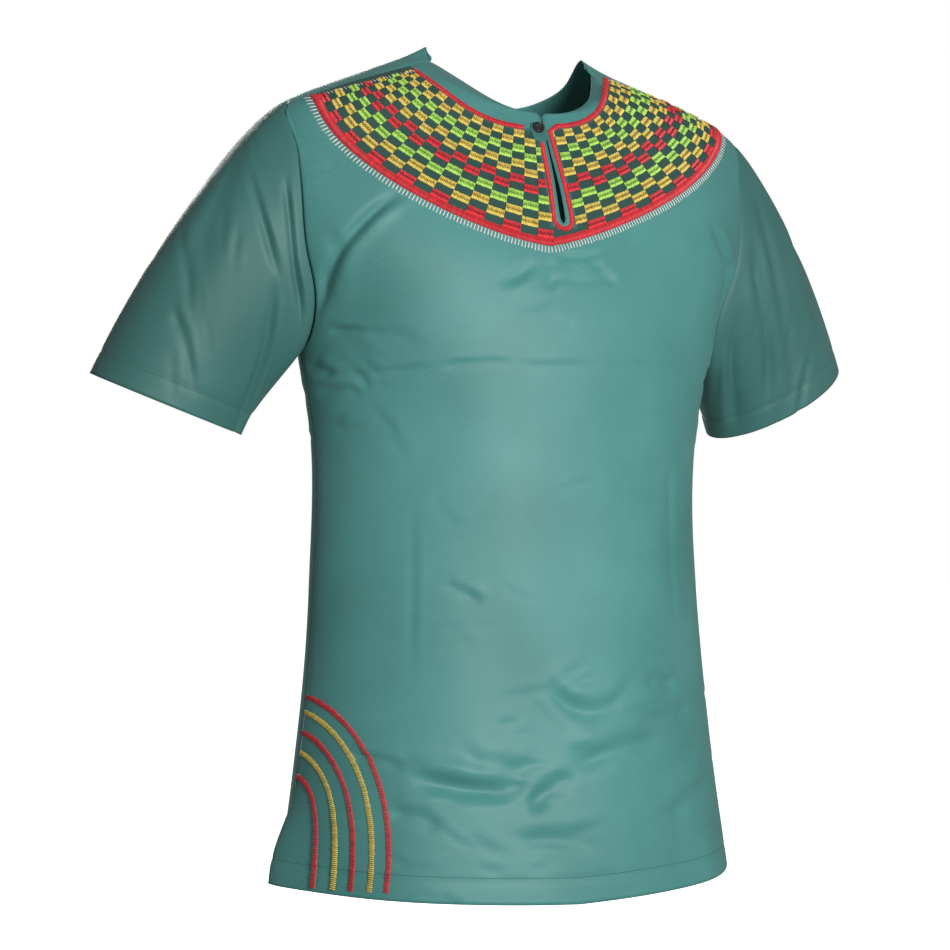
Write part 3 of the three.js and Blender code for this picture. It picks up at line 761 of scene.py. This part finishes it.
def thread_material(name, dark, light):
    """Glossy embroidery thread; its attribute of random tone with painted highlights and painted shade runs
    from the dark colour to the light one.
    """
    material, nodes, links, shader = new_material(name)
    tone_and_painted_light = add_node(nodes, "Attribute")
    tone_and_painted_light.attribute_name = "tone_and_painted_light"
    coord = add_node(nodes, "TexCoord")
    noise = add_node(nodes, "TexNoise", Scale=900.0, Detail=2.0)
    links.new(coord.outputs["Object"], noise.inputs["Vector"])
    both = add_node(nodes, "Math")
    both.operation = "MULTIPLY_ADD"
    both.inputs[1].default_value = 0.3
    links.new(noise.outputs["Fac"], both.inputs[0])
    links.new(tone_and_painted_light.outputs["Fac"], both.inputs[2])
    colour = add_ramp(nodes, links, both.outputs["Value"], (0.1, dark), (1.0, light))
    links.new(colour, shader.inputs["Base Color"])
    add_bump(nodes, links, shader, noise.outputs["Fac"], 0.15, 0.0002)
    shader.inputs["Roughness"].default_value = 0.36
    shader.inputs["Sheen Weight"].default_value = 0.1
    return material


GREEN = cloth_material()
# each thread runs from a dark, shaded colour to a light, lit one; the attribute of random tone and painted
# light picks between them
THREADS = {
    "red": thread_material("red_thread", (0.20, 0.006, 0.010), (0.96, 0.045, 0.062)),
    "gold": thread_material("gold_thread", (0.24, 0.11, 0.006), (1.0, 0.80, 0.15)),
    "lime": thread_material("lime_thread", (0.08, 0.21, 0.012), (0.60, 1.0, 0.17)),
    "white": thread_material("white_thread", (0.62, 0.62, 0.60), (0.92, 0.92, 0.90)),
    "green": thread_material("green_thread", (0.03, 0.10, 0.08), (0.06, 0.16, 0.13)),
}
for piece in CLOTH_PIECES:
    piece.data.materials.append(GREEN)
# painted shade: the sleeves' cloth darkened evenly all over
for piece in (sleeve_right, sleeve_left):
    paint(piece, "painted_shade", SLEEVE_PAINTED_SHADE)


# ---- embroidery ------------------------------------------------------------------------------
def on_front(x, z, lift=0.0):
    """Points of the front cloth at (x, z), with its creases, raised by lift; and normals."""
    x, z = np.broadcast_arrays(np.asarray(x, float), np.asarray(z, float))
    angle = angle_of_x(x, z)
    base = torso_point(angle, z)
    normal = torso_normal(angle, z)
    push = panel_push("front", x, z)
    return base + (np.asarray(lift) - push)[..., None] * normal, normal


class Stitches:
    """Collects the faces of one colour of thread, with a value of random tone and painted light for each
    point, into one mesh.
    """

    def __init__(self):
        self.verts = []
        self.faces = []
        self.tones_and_painted_light = []
        self.count = 0

    def add_grid(self, points, tone_and_painted_light):
        """points: (n, rows, columns, 3) patches of thread; the value of random tone, painted highlight and
        painted shade runs from 0, dark, to 1, light.
        """
        n, rows, columns, _ = points.shape
        index = np.arange(n * rows * columns).reshape(n, rows, columns) + self.count
        quads = np.stack([index[:, :-1, :-1], index[:, :-1, 1:], index[:, 1:, 1:], index[:, 1:, :-1]], -1)
        self.faces.append(quads.reshape(-1, 4))
        self.verts.append(points.reshape(-1, 3))
        self.tones_and_painted_light.append(np.broadcast_to(tone_and_painted_light, points.shape[:3]).ravel())
        self.count += n * rows * columns

    def build(self, name, colour):
        obj = make_object(name, np.concatenate(self.verts), np.concatenate(self.faces))
        paint(obj, "tone_and_painted_light", np.clip(np.concatenate(self.tones_and_painted_light), 0, 1))
        obj.data.materials.append(THREADS[colour])
        return obj


stitches = {colour: Stitches() for colour in THREADS}

# one thread's cross-section and its rise and fall along its length
THREAD_ACROSS = np.array([-0.5, -0.3, 0.0, 0.3, 0.5])
THREAD_ROUND = np.array([0.0, 0.72, 1.0, 0.72, 0.0])
THREAD_ALONG = np.array([0.0, 0.08, 0.3, 0.7, 0.92, 1.0])
THREAD_RISE = np.array([0.0, 0.66, 1.0, 1.0, 0.66, 0.0])


def threads_between(colour, surface, u0, v0, u1, v1, width, height, tone_and_painted_light=0.6, crown=1.0):
    """Threads laid on a surface from (u0, v0) to (u1, v1), each an arched round ribbon."""
    u0, v0, u1, v1 = (np.asarray(a, float).ravel() for a in (u0, v0, u1, v1))
    along = THREAD_ALONG[None, :, None]
    du, dv = u1 - u0, v1 - v0
    span = np.maximum(np.hypot(du, dv), 1e-6)
    side_u, side_v = dv / span, -du / span
    offset = THREAD_ACROSS[None, None, :] * width
    u = mix(u0[:, None, None], u1[:, None, None], along) + side_u[:, None, None] * offset
    v = mix(v0[:, None, None], v1[:, None, None], along) + side_v[:, None, None] * offset
    height = np.broadcast_to(np.asarray(height, float), u0.shape)[:, None, None]
    arch = THREAD_RISE[None, :, None] ** crown
    lift = 0.1 + height * arch * (0.45 + 0.55 * THREAD_ROUND[None, None, :])
    points, _ = surface(u, v, lift)
    own = np.broadcast_to(np.asarray(tone_and_painted_light, float), u0.shape)[:, None, None]
    # painted highlight and shade: each thread darker along its two sides and lighter along its crown; the
    # random draw gives each thread its own tone
    groove = 0.35 * (1 - THREAD_ROUND[None, None, :])
    stitches[colour].add_grid(points, own + rng.uniform(-0.12, 0.12, (len(u0), 1, 1)) - groove + 0 * lift)


def path_frame(points, pitch):
    """Even steps along a path of (x, z) points: places and unit normals to its left."""
    points = np.asarray(points, float)
    lengths = np.concatenate([[0], np.cumsum(np.hypot(*np.diff(points, axis=0).T))])
    count = max(int(lengths[-1] / pitch), 2)
    s = (np.arange(count) + 0.5) / count * lengths[-1]
    place = np.stack([np.interp(s, lengths, points[:, i]) for i in (0, 1)], -1)
    ahead = np.stack([np.interp(s + 1.5, lengths, points[:, i]) for i in (0, 1)], -1)
    behind = np.stack([np.interp(s - 1.5, lengths, points[:, i]) for i in (0, 1)], -1)
    tangent = unit(ahead - behind)
    return place, np.stack([-tangent[:, 1], tangent[:, 0]], -1)


def satin_line(colour, points, width, pitch=1.05, height=1.7, slant=0.0, jitter=0.2, surface=on_front,
               fill=1.1, crown=1.4):
    """A line of threads laid across a path; fill is a thread's width against the pitch."""
    place, left = path_frame(points, pitch)
    count = len(place)
    half = width / 2 + rng.uniform(-jitter, jitter, (2, count))
    tangent = np.stack([left[:, 1], -left[:, 0]], -1)
    lean = tangent * slant
    start = place - left * half[0][:, None] - lean
    end = place + left * half[1][:, None] + lean
    threads_between(colour, surface, start[:, 0], start[:, 1], end[:, 0], end[:, 1],
                    pitch * fill, height * rng.uniform(0.9, 1.1, count), crown=crown)


BIB_ROWS = 13
BIB_COLUMNS = 17
BIB_FIRST, BIB_LAST = 0.0, 0.995      # shares of the way from centre front to the shoulder
BIB_TOP, BIB_LOW = 0.03, 0.955          # shares of the way from neck line to outer edge
THREAD_PITCH = 1.5
PATCH_HEIGHT = 1.3
ROW_COLOURS = ["gold", "gold", "lime", "lime", "gold", "gold", "red", "red",
               "lime", "lime", "gold", "gold", "red"]
NECK_LINE_DROP = 15.5       # the plain strip between the neck edge and the red line
LINE_WIDTH = 4.6
BORDER_WIDTH = 7.0
POINT_ASIDE = 13.0          # how far the bib's lowest point sits to the wearer's right
SLIT_LINE_TOP = 5.2         # distance of the slit's red line from centre at its top
SLIT_LINE_LOW = 9.0
SLIT_FOOT = -156.0          # where the slit's red line turns round below


# the button and the tab under it
BUTTON_X, BUTTON_Z = -6.5, -70.0
BUTTON_RADIUS = 5.6
BUTTON_THICK = 2.2
HOLE_RADIUS = 0.75
HOLE_ASIDE = 1.28           # of each hole's middle from the button's, across and up
TAB_X, TAB_Z = -6.0, -73.0
TAB_HALF, TAB_TALL, TAB_WALL = 7.8, 9.4, 1.0
TAB_LIFT = 0.4
# painted shade of the tab under the button: how far its cloth is mixed towards the darkest green
TAB_PAINTED_SHADE = 0.45

# the bib's curves by side: reach in x, foot, rise to the shoulder seam and its power
INNER_CURVE = {1: (101.0, -66.0, 58.0, 2.4), -1: (109.0, -70.0, 52.0, 3.0)}
OUTER_CURVE = {1: (206.0, -179.0, 142.0, 0.64), -1: (205.0, -180.0, 132.0, 0.80)}


def bib_inner(t, side):
    """The red neck line as (x, z), t from centre front to the shoulder seam."""
    reach, foot, rise, power = INNER_CURVE[side]
    x = reach * np.sin(t * math.pi / 2)
    return x, foot + rise * (x / reach) ** power


def bib_outer(t, side):
    """The bib's outer edge as (x, z)."""
    reach, foot, rise, power = OUTER_CURVE[side]
    x = reach * np.sin(t * math.pi / 2) ** 1.05 - side * POINT_ASIDE * (1 - t) ** 2
    return x, foot + rise * (1 - np.cos(t * math.pi / 2)) ** power


def slit_line_x(z):
    low = np.clip((-72 - z) / (156 - 72), 0, 1)
    return mix(SLIT_LINE_TOP, SLIT_LINE_LOW, low)


def bib_point(t, d, side):
    """(x, z) of the bib: t 0 centre front, 1 shoulder seam; d 0 neck line, 1 outer edge."""
    t = np.maximum(t, 0)
    x0, z0 = bib_inner(t, side)
    x1, z1 = bib_outer(t, side)
    d = np.clip(d, -0.2, 1.2)
    x, z = mix(x0, x1, d), mix(z0, z1, d)
    return x, z


def bib_surface(side):
    def surface(t, d, lift):
        x, z = bib_point(t, d, side)
        return on_front(side * x, z, lift)
    return surface


def cloth_length(x0, z0, x1, z1):
    ends, _ = on_front(np.array([x0, x1]), np.array([z0, z1]))
    return float(np.linalg.norm(ends[1] - ends[0]))


def bib_patch(side, column, row):
    """One satin square: two rows of threads that meet in a toothed line along its middle."""
    colour = ROW_COLOURS[row]
    t0, t1 = (mix(BIB_FIRST, BIB_LAST, (column + i) / BIB_COLUMNS) for i in (0, 1))
    d0, d1 = (mix(BIB_TOP, BIB_LOW, (row + i) / BIB_ROWS) for i in (0, 1))
    middle = (d0 + d1) / 2
    width = cloth_length(*bib_point(t0, middle, side), *bib_point(t1, middle, side))
    count = max(int(width / THREAD_PITCH), 4)
    t = mix(t0, t1, (np.arange(count) + 0.5) / count)
    x, z = bib_point(t, middle, side)
    under_tab = (side < 0) & (x < TAB_HALF - TAB_X + 1) & (z > TAB_Z - TAB_TALL - 1.5)
    t = t[((x > slit_line_x(z) + 2.8) | (z < SLIT_FOOT - 16)) & ~under_tab]
    if len(t) == 0:
        return
    tooth = 0.045 * (-1.0) ** np.arange(len(t))
    wander = rng.uniform(-0.035, 0.035, (4, len(t)))
    ends = {-1: mix(d0, d1, 0.01 + wander[0]), 1: mix(d0, d1, 0.99 + wander[1])}
    for half in (-1, 1):
        meet = mix(d0, d1, 0.5 + tooth + 0.022 * half + wander[2 + (half > 0)] * 0.5)
        patch_threads(colour, side, t, ends[half], meet, (t1 - t0) / count)


def patch_threads(colour, side, t, start, end, pitch):
    """Threads from the patch's outer edge (start) to its middle line (end), with a painted highlight at the
    outer end and painted shade inwards.
    """
    along = THREAD_ALONG[None, :, None]
    tt = t[:, None, None] + THREAD_ACROSS[None, None, :] * pitch * 1.02 + 0 * along
    dd = mix(start[:, None, None], end[:, None, None], along) + 0 * tt
    lift = 0.1 + PATCH_HEIGHT * THREAD_RISE[None, :, None] * (0.4 + 0.6 * THREAD_ROUND[None, None, :])
    points, _ = bib_surface(side)(tt, dd, lift)
    if (side > 0) == bool(end[0] > start[0]):
        points = points[:, ::-1]
        along = along[:, ::-1]
    # painted highlight at each thread's outer end, painted shade towards the patch's middle line and along
    # each thread's sides; the random draw adds each thread's own tone
    tone_and_painted_light = mix(1.0, 0.3, along) - 0.3 * (1 - THREAD_ROUND[None, None, :])
    tone_and_painted_light = tone_and_painted_light + rng.uniform(-0.14, 0.14, (len(t), 1, 1))
    stitches[colour].add_grid(points, tone_and_painted_light)


def half_path(function, t0, t1, side, count=160):
    t = np.linspace(t0, t1, count)
    x, z = function(t)
    return np.stack([side * x, z], -1)


def embroider_bib():
    for side in (1, -1):
        for row in range(BIB_ROWS):
            for column in range(BIB_COLUMNS):
                if (row + column) % 2 == 0:
                    bib_patch(side, column, row)
        satin_line("red", half_path(lambda t: bib_point(t, 0.985, side), 0.0, 1.0, side), BORDER_WIDTH)
    slit_outline()
    fringe()


def slit_outline():
    """The red lines of the neck and of the keyhole slit, round at the slit's foot."""
    z = np.linspace(SLIT_FOOT, -72.0, 60)
    neck_left = half_path(lambda t: bib_inner(t, 1), 0.09, 1.0, 1)
    left = np.concatenate([np.stack([slit_line_x(z), z], -1), neck_left])
    satin_line("red", left, LINE_WIDTH)
    satin_line("red", half_path(lambda t: bib_inner(t, -1), 0.12, 1.0, -1), LINE_WIDTH)
    z = np.linspace(-84.0, SLIT_FOOT, 60)
    satin_line("red", np.stack([-slit_line_x(z), z], -1), LINE_WIDTH)
    turn = np.linspace(math.pi, 2 * math.pi, 30)
    arc = np.stack([SLIT_LINE_LOW * np.cos(turn), SLIT_FOOT + SLIT_LINE_LOW * np.sin(turn)], -1)
    satin_line("red", arc, LINE_WIDTH)


def fringe():
    """White stitches that stand out all round the bib."""
    for side in (1, -1):
        edge = half_path(lambda t: bib_point(t, 1.03, side), 0.0, 1.0, side, 300)
        place, left = path_frame(edge, 3.1)
        out = left * (-1 if side > 0 else 1)
        count = len(place)
        reach = 4.6 + rng.uniform(-0.5, 0.5, count)
        start = place - out * 0.8
        end = place + out * reach[:, None]
        threads_between("white", on_front, start[:, 0], start[:, 1], end[:, 0], end[:, 1], 1.0, 0.7)
        d = np.linspace(0.02, 1.0, 32)
        x, z = bib_point(1.0, d, side)
        threads_between("white", on_front, side * (x - 1.2), z - 2.0, side * (x + 0.2), z + 0.2, 0.8, 0.6)


def paint_bib_shade():
    """Painted shade on the front: the cloth between the bib's stitches, darkened as if shadowed by the raised
    threads, as an attribute of the front.
    """
    count = len(front.data.vertices)
    places = np.zeros(count * 3)
    front.data.vertices.foreach_get("co", places)
    x, _, z = places.reshape(-1, 3).T / MM
    x = x + NECK_PULL * neck_share(x + 8, z)
    t = np.linspace(0, 1, 200)
    away = np.abs(x)
    painted_shade = np.zeros(count)
    for side in (1, -1):
        inner_x, inner_z = bib_inner(t, side)
        outer_x, outer_z = bib_outer(t, side)
        below_line = np.interp(away, inner_x, inner_z, right=30.0) - z
        above_edge = z - np.interp(away, outer_x, outer_z, right=30.0)
        beside_slit = np.where(z > SLIT_FOOT - 8, away - slit_line_x(z), 9.0)
        depth = np.minimum(np.minimum(below_line, above_edge), beside_slit)
        painted_shade = np.where(side * x >= 0, smooth(depth / 4.0), painted_shade)
    paint(front, "painted_shade", painted_shade)


paint_bib_shade()
embroider_bib()

# five quarter ellipses about the corner of vent and hem, on the wearer's right: colour,
# reach along the cloth at the hem, height of the upper end
HEM_ARCS = [
    ("red", 119.5, -580),
    ("gold", 104.6, -594),
    ("red", 87.7, -612),
    ("gold", 71.5, -630),
    ("red", 53.8, -651),
]
ARC_FOOT = -744.0
ARC_WIDTH = 5.0


def on_side(s, z, lift=0.0):
    """Points of the front cloth s along it from the wearer's right side, at height z."""
    s, z, lift = np.broadcast_arrays(np.asarray(s, float), np.asarray(z, float), np.asarray(lift, float))
    turns = -math.pi / 2 * (1 - np.linspace(0, 1, 90) ** 1.6)
    heights = np.linspace(-560, HEM_CENTRE, 40)
    rows = torso_point(turns[None, :], heights[:, None])
    run = np.hypot(*np.moveaxis(np.diff(rows[..., :2], axis=1), -1, 0))
    run = np.concatenate([np.zeros((len(heights), 1)), np.cumsum(run, axis=1)], 1)
    lengths = np.stack([np.interp(z.ravel(), heights[::-1], run[::-1, i]) for i in range(run.shape[1])], -1)
    flat = s.ravel()
    column = np.array([np.searchsorted(row, value) for row, value in zip(lengths, flat)])
    column = np.clip(column, 1, len(turns) - 1)
    every = np.arange(len(flat))
    below, above = lengths[every, column - 1], lengths[every, column]
    angle = mix(turns[column - 1], turns[column], (flat - below) / (above - below)).reshape(s.shape)
    base, normal = torso_point(angle, z), torso_normal(angle, z)
    push = panel_push("front", base[..., 0], z) * smooth(s / 26)
    points = base + (lift - push)[..., None] * normal
    flap = smooth((VENT_TOP - z) / FLARE_HEIGHT) * np.exp(-(s / 60) ** 2) * VENT_FLARE[("front", -1)]
    points[..., 0] -= flap
    points[..., 1] += FLARE_BACKWARD["front"] * flap
    return points, normal


for colour, reach, top in HEM_ARCS:
    turn = np.linspace(0.03, math.pi / 2, 90)
    path = np.stack([reach * np.sin(turn), ARC_FOOT + (top - ARC_FOOT) * np.cos(turn)], -1)
    satin_line(colour, path, ARC_WIDTH, pitch=1.75, height=1.1, jitter=0.3, slant=0.5, surface=on_side,
               fill=0.74, crown=0.8)
# the thread carried across from the second arc's start to the fourth's
jump = np.stack([np.full(12, 3.0), np.linspace(-597, -629, 12)], -1)
threads_between("white", on_side, jump[:-1, 0], jump[:-1, 1], jump[1:, 0], jump[1:, 1] + 1.0, 0.7, 0.5)


# ---- plain stitching ---------------------------------------------------------------------------
def stitch_row(points, normals, length=2.6, gap=0.7, width=0.55, height=0.32):
    """A row of lockstitches along points already on the cloth."""
    steps_run = np.linalg.norm(np.diff(points, axis=0), axis=1)
    run = np.concatenate([[0], np.cumsum(steps_run)])
    count = int(run[-1] / (length + gap))
    if count < 1:
        return
    start = (np.arange(count) + 0.5) * (length + gap)
    grid_s = start[:, None, None] + (THREAD_ALONG[None, :, None] - 0.5) * length

    def at(values, s):
        return np.stack([np.interp(s, run, values[:, i]) for i in range(3)], -1)

    middle, normal = at(points, grid_s), unit(at(normals, grid_s))
    tangent = unit(at(points, grid_s + 1) - at(points, grid_s - 1))
    side = np.cross(tangent, normal)
    across = THREAD_ACROSS[None, None, :, None] * width
    lift = 0.02 + height * (THREAD_RISE[None, :, None] * THREAD_ROUND[None, None, :])[..., None]
    stitches["green"].add_grid(middle + side * across + normal * lift, 0.5 + 0 * grid_s)


for seam_points, seam_normals in STITCH_LINES:
    stitch_row(seam_points, seam_normals)

thread_pieces = []
for colour, work in stitches.items():
    if work.verts:
        piece = work.build("embroidery_" + colour, colour)
        thread_pieces.append(piece)


# ---- button and its tab --------------------------------------------------------------------------
def button_material():
    material, nodes, links, shader = new_material("black_button")
    coord = add_node(nodes, "TexCoord")
    noise = add_node(nodes, "TexNoise", Scale=260.0)
    links.new(coord.outputs["Object"], noise.inputs["Vector"])
    black = add_ramp(nodes, links, noise.outputs["Fac"],
                     (0.0, (0.006, 0.007, 0.009)), (1.0, (0.030, 0.032, 0.038)))
    links.new(black, shader.inputs["Base Color"])
    shader.inputs["Roughness"].default_value = 0.16
    shader.inputs["Coat Weight"].default_value = 0.5
    return material




def local_frame(x, z):
    point, normal = on_front(x, z)
    up = unit(np.array([0, 0, 1.0]) - normal[2] * normal)
    return point, normal, np.cross(up, normal), up


def build_button():
    """A dished four-hole button: a polar height field over a flat back."""
    point, normal, across, up = local_frame(BUTTON_X, BUTTON_Z)
    rings, spokes = 30, 64
    r = np.linspace(0, 1, rings)[:, None] * BUTTON_RADIUS
    turn = np.arange(spokes)[None, :] * 2 * math.pi / spokes
    x, y = r * np.cos(turn), r * np.sin(turn)
    share = r / BUTTON_RADIUS + 0 * turn
    top = BUTTON_THICK - 0.8 * smooth((0.72 - share) / 0.14)
    top = top - BUTTON_THICK * 0.45 * smooth((share - 0.86) / 0.14) ** 2
    for hx in (-1, 1):
        for hy in (-1, 1):
            away = np.hypot(x - hx * HOLE_ASIDE, y - hy * HOLE_ASIDE)
            top = top - 1.1 * smooth((HOLE_RADIUS - away) / 0.25 + 0.5)
    base = TAB_LIFT + TAB_WALL + 0.4
    grid = point + normal * (base + top)[..., None] + across * x[..., None] + up * y[..., None]
    low = point + normal * (base + 0 * top)[..., None] + across * x[..., None] + up * y[..., None]
    top_points, low_points = grid.reshape(-1, 3), low.reshape(-1, 3)
    index = np.arange(rings * spokes).reshape(rings, spokes)
    index = np.concatenate([index, index[:, :1]], 1)
    faces = [list(map(int, f)) for f in grid_quads(index[1:], True)]
    faces += [(int(index[0, 0]), int(index[1, i]), int(index[1, i + 1])) for i in range(spokes)]
    shift = rings * spokes
    outer = index[-1].tolist()
    rim = [(outer[i], outer[i] + shift, outer[i + 1] + shift, outer[i + 1]) for i in range(spokes)]
    back_face = [tuple(i + shift for i in outer[-2::-1])]
    obj = make_object("button_detailed", np.concatenate([top_points, low_points]), faces + rim + back_face)
    tidy_mesh(obj)
    obj.data.materials.append(button_material())
    return obj


def tidy_mesh(obj):
    """Drops loose points, merges doubled ones and turns the faces outwards."""
    work = bmesh.new()
    work.from_mesh(obj.data)
    bmesh.ops.remove_doubles(work, verts=work.verts, dist=1e-6)
    loose = [v for v in work.verts if not v.link_faces]
    bmesh.ops.delete(work, geom=loose, context="VERTS")
    bmesh.ops.recalc_face_normals(work, faces=work.faces)
    work.to_mesh(obj.data)
    work.free()


def build_tab():
    """The rounded tab under the button, curved with the cloth and soft at its edge."""
    rings, spokes = 14, 48
    turn = np.arange(spokes)[None, :] * 2 * math.pi / spokes
    share = np.linspace(0.02, 1, rings)[:, None]
    x = TAB_X + TAB_HALF * share * np.sign(np.cos(turn)) * np.abs(np.cos(turn)) ** 0.62
    z = TAB_Z + TAB_TALL * share * np.sign(np.sin(turn)) * np.abs(np.sin(turn)) ** 0.62
    edge = 1 - smooth((share - 0.8) / 0.2) * 0.7 + 0 * turn
    groove = 0.25 * np.exp(-((share - 0.8) / 0.05) ** 2)
    top, _ = on_front(x, z, TAB_LIFT + TAB_WALL * edge - groove)
    low, _ = on_front(x, z, TAB_LIFT + 0 * edge)
    points = np.concatenate([top.reshape(-1, 3), low.reshape(-1, 3)])
    index = np.arange(rings * spokes).reshape(rings, spokes)
    index = np.concatenate([index, index[:, :1]], 1)
    count = rings * spokes
    faces = grid_quads(index, False).tolist() + (grid_quads(index, True) + count).tolist()
    outer = index[-1].tolist()
    faces += [(outer[i], outer[i + 1], outer[i + 1] + count, outer[i] + count) for i in range(spokes)]
    faces += [[int(i) for i in index[0, :-1]], [int(i) + count for i in index[0, :-1]]]
    uvs = np.stack([np.tile(x.ravel(), 2), np.tile(z.ravel(), 2)], -1) * MM
    obj = make_object("button_tab_cloth", points, faces, uvs)
    tidy_mesh(obj)
    # painted shade: the tab's cloth darkened evenly, for the shade under the button
    paint(obj, "painted_shade", TAB_PAINTED_SHADE)
    obj.data.materials.append(GREEN)
    return obj


button = build_button()
tab = build_tab()

# ---- stage, camera, light ----------------------------------------------------------------------
floor_mesh = bpy.data.meshes.new("floor")
size, low = 30.0, -1.10
floor_mesh.from_pydata([(-size, -size, low), (size, -size, low), (size, size, low), (-size, size, low)],
                       [], [(0, 1, 2, 3)])
floor = bpy.data.objects.new("floor", floor_mesh)
bpy.context.scene.collection.objects.link(floor)
floor_material, nodes, links, shader = new_material("pale_floor")
shader.inputs["Base Color"].default_value = (0.9, 0.9, 0.9, 1)
shader.inputs["Roughness"].default_value = 0.9
shader.inputs["Emission Color"].default_value = (1, 1, 1, 1)
shader.inputs["Emission Strength"].default_value = 1.0
floor.visible_diffuse = False
floor.visible_glossy = False
floor_mesh.materials.append(floor_material)

world = bpy.data.worlds.new("studio")
bpy.context.scene.world = world
world.use_nodes = True
background = world.node_tree.nodes["Background"]
background.inputs["Color"].default_value = (1, 1, 1, 1)
seen = world.node_tree.nodes.new("ShaderNodeLightPath")
glow = world.node_tree.nodes.new("ShaderNodeMapRange")
glow.inputs["To Min"].default_value = 0.20     # soft light from all round
glow.inputs["To Max"].default_value = 1.0      # the white studio wall itself
world.node_tree.links.new(seen.outputs["Is Camera Ray"], glow.inputs["Value"])
world.node_tree.links.new(glow.outputs["Result"], background.inputs["Strength"])
bpy.context.scene.view_settings.view_transform = "Standard"

CAMERA_TURN = math.radians(24)
CAMERA_DISTANCE = 2.05
CAMERA_HEIGHT = -0.446
ASIDE = 0.033
LENS = 83.52
SHIFT_UP = 0.0758
camera_data = bpy.data.cameras.new("camera")
camera_data.sensor_width = 36.0
camera_data.lens = LENS
camera_data.shift_y = SHIFT_UP
camera = bpy.data.objects.new("camera", camera_data)
right = np.array([math.cos(CAMERA_TURN), -math.sin(CAMERA_TURN), 0])
towards = np.array([math.sin(CAMERA_TURN), math.cos(CAMERA_TURN), 0])
camera.location = tuple(-CAMERA_DISTANCE * towards - ASIDE * right + np.array([0, 0, CAMERA_HEIGHT]))
camera.rotation_euler = (math.pi / 2, 0, -CAMERA_TURN)
bpy.context.scene.collection.objects.link(camera)
bpy.context.scene.camera = camera


def area_light(name, place, target, size, power):
    data = bpy.data.lights.new(name, "AREA")
    data.size = size
    data.energy = power
    light = bpy.data.objects.new(name, data)
    light.location = place
    direction = Vector(target) - Vector(place)
    light.rotation_euler = direction.to_track_quat("-Z", "Y").to_euler()
    bpy.context.scene.collection.objects.link(light)


area_light("key", (0.02, -2.30, -0.10), (0, 0, -0.42), 0.7, 43)
area_light("back", (0.3, 2.3, 0.5), (0, 0, -0.4), 1.2, 46)

# ---- how the pieces go with the frame ------------------------------------------------------------
for piece in CLOTH_PIECES + thread_pieces + [button, tab]:
    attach(piece, "root")
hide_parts("button")
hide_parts("button_tab")
for piece, node in zip(CLOTH_PIECES, ("front", "back", "sleeve_right", "sleeve_left")):
    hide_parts(node)
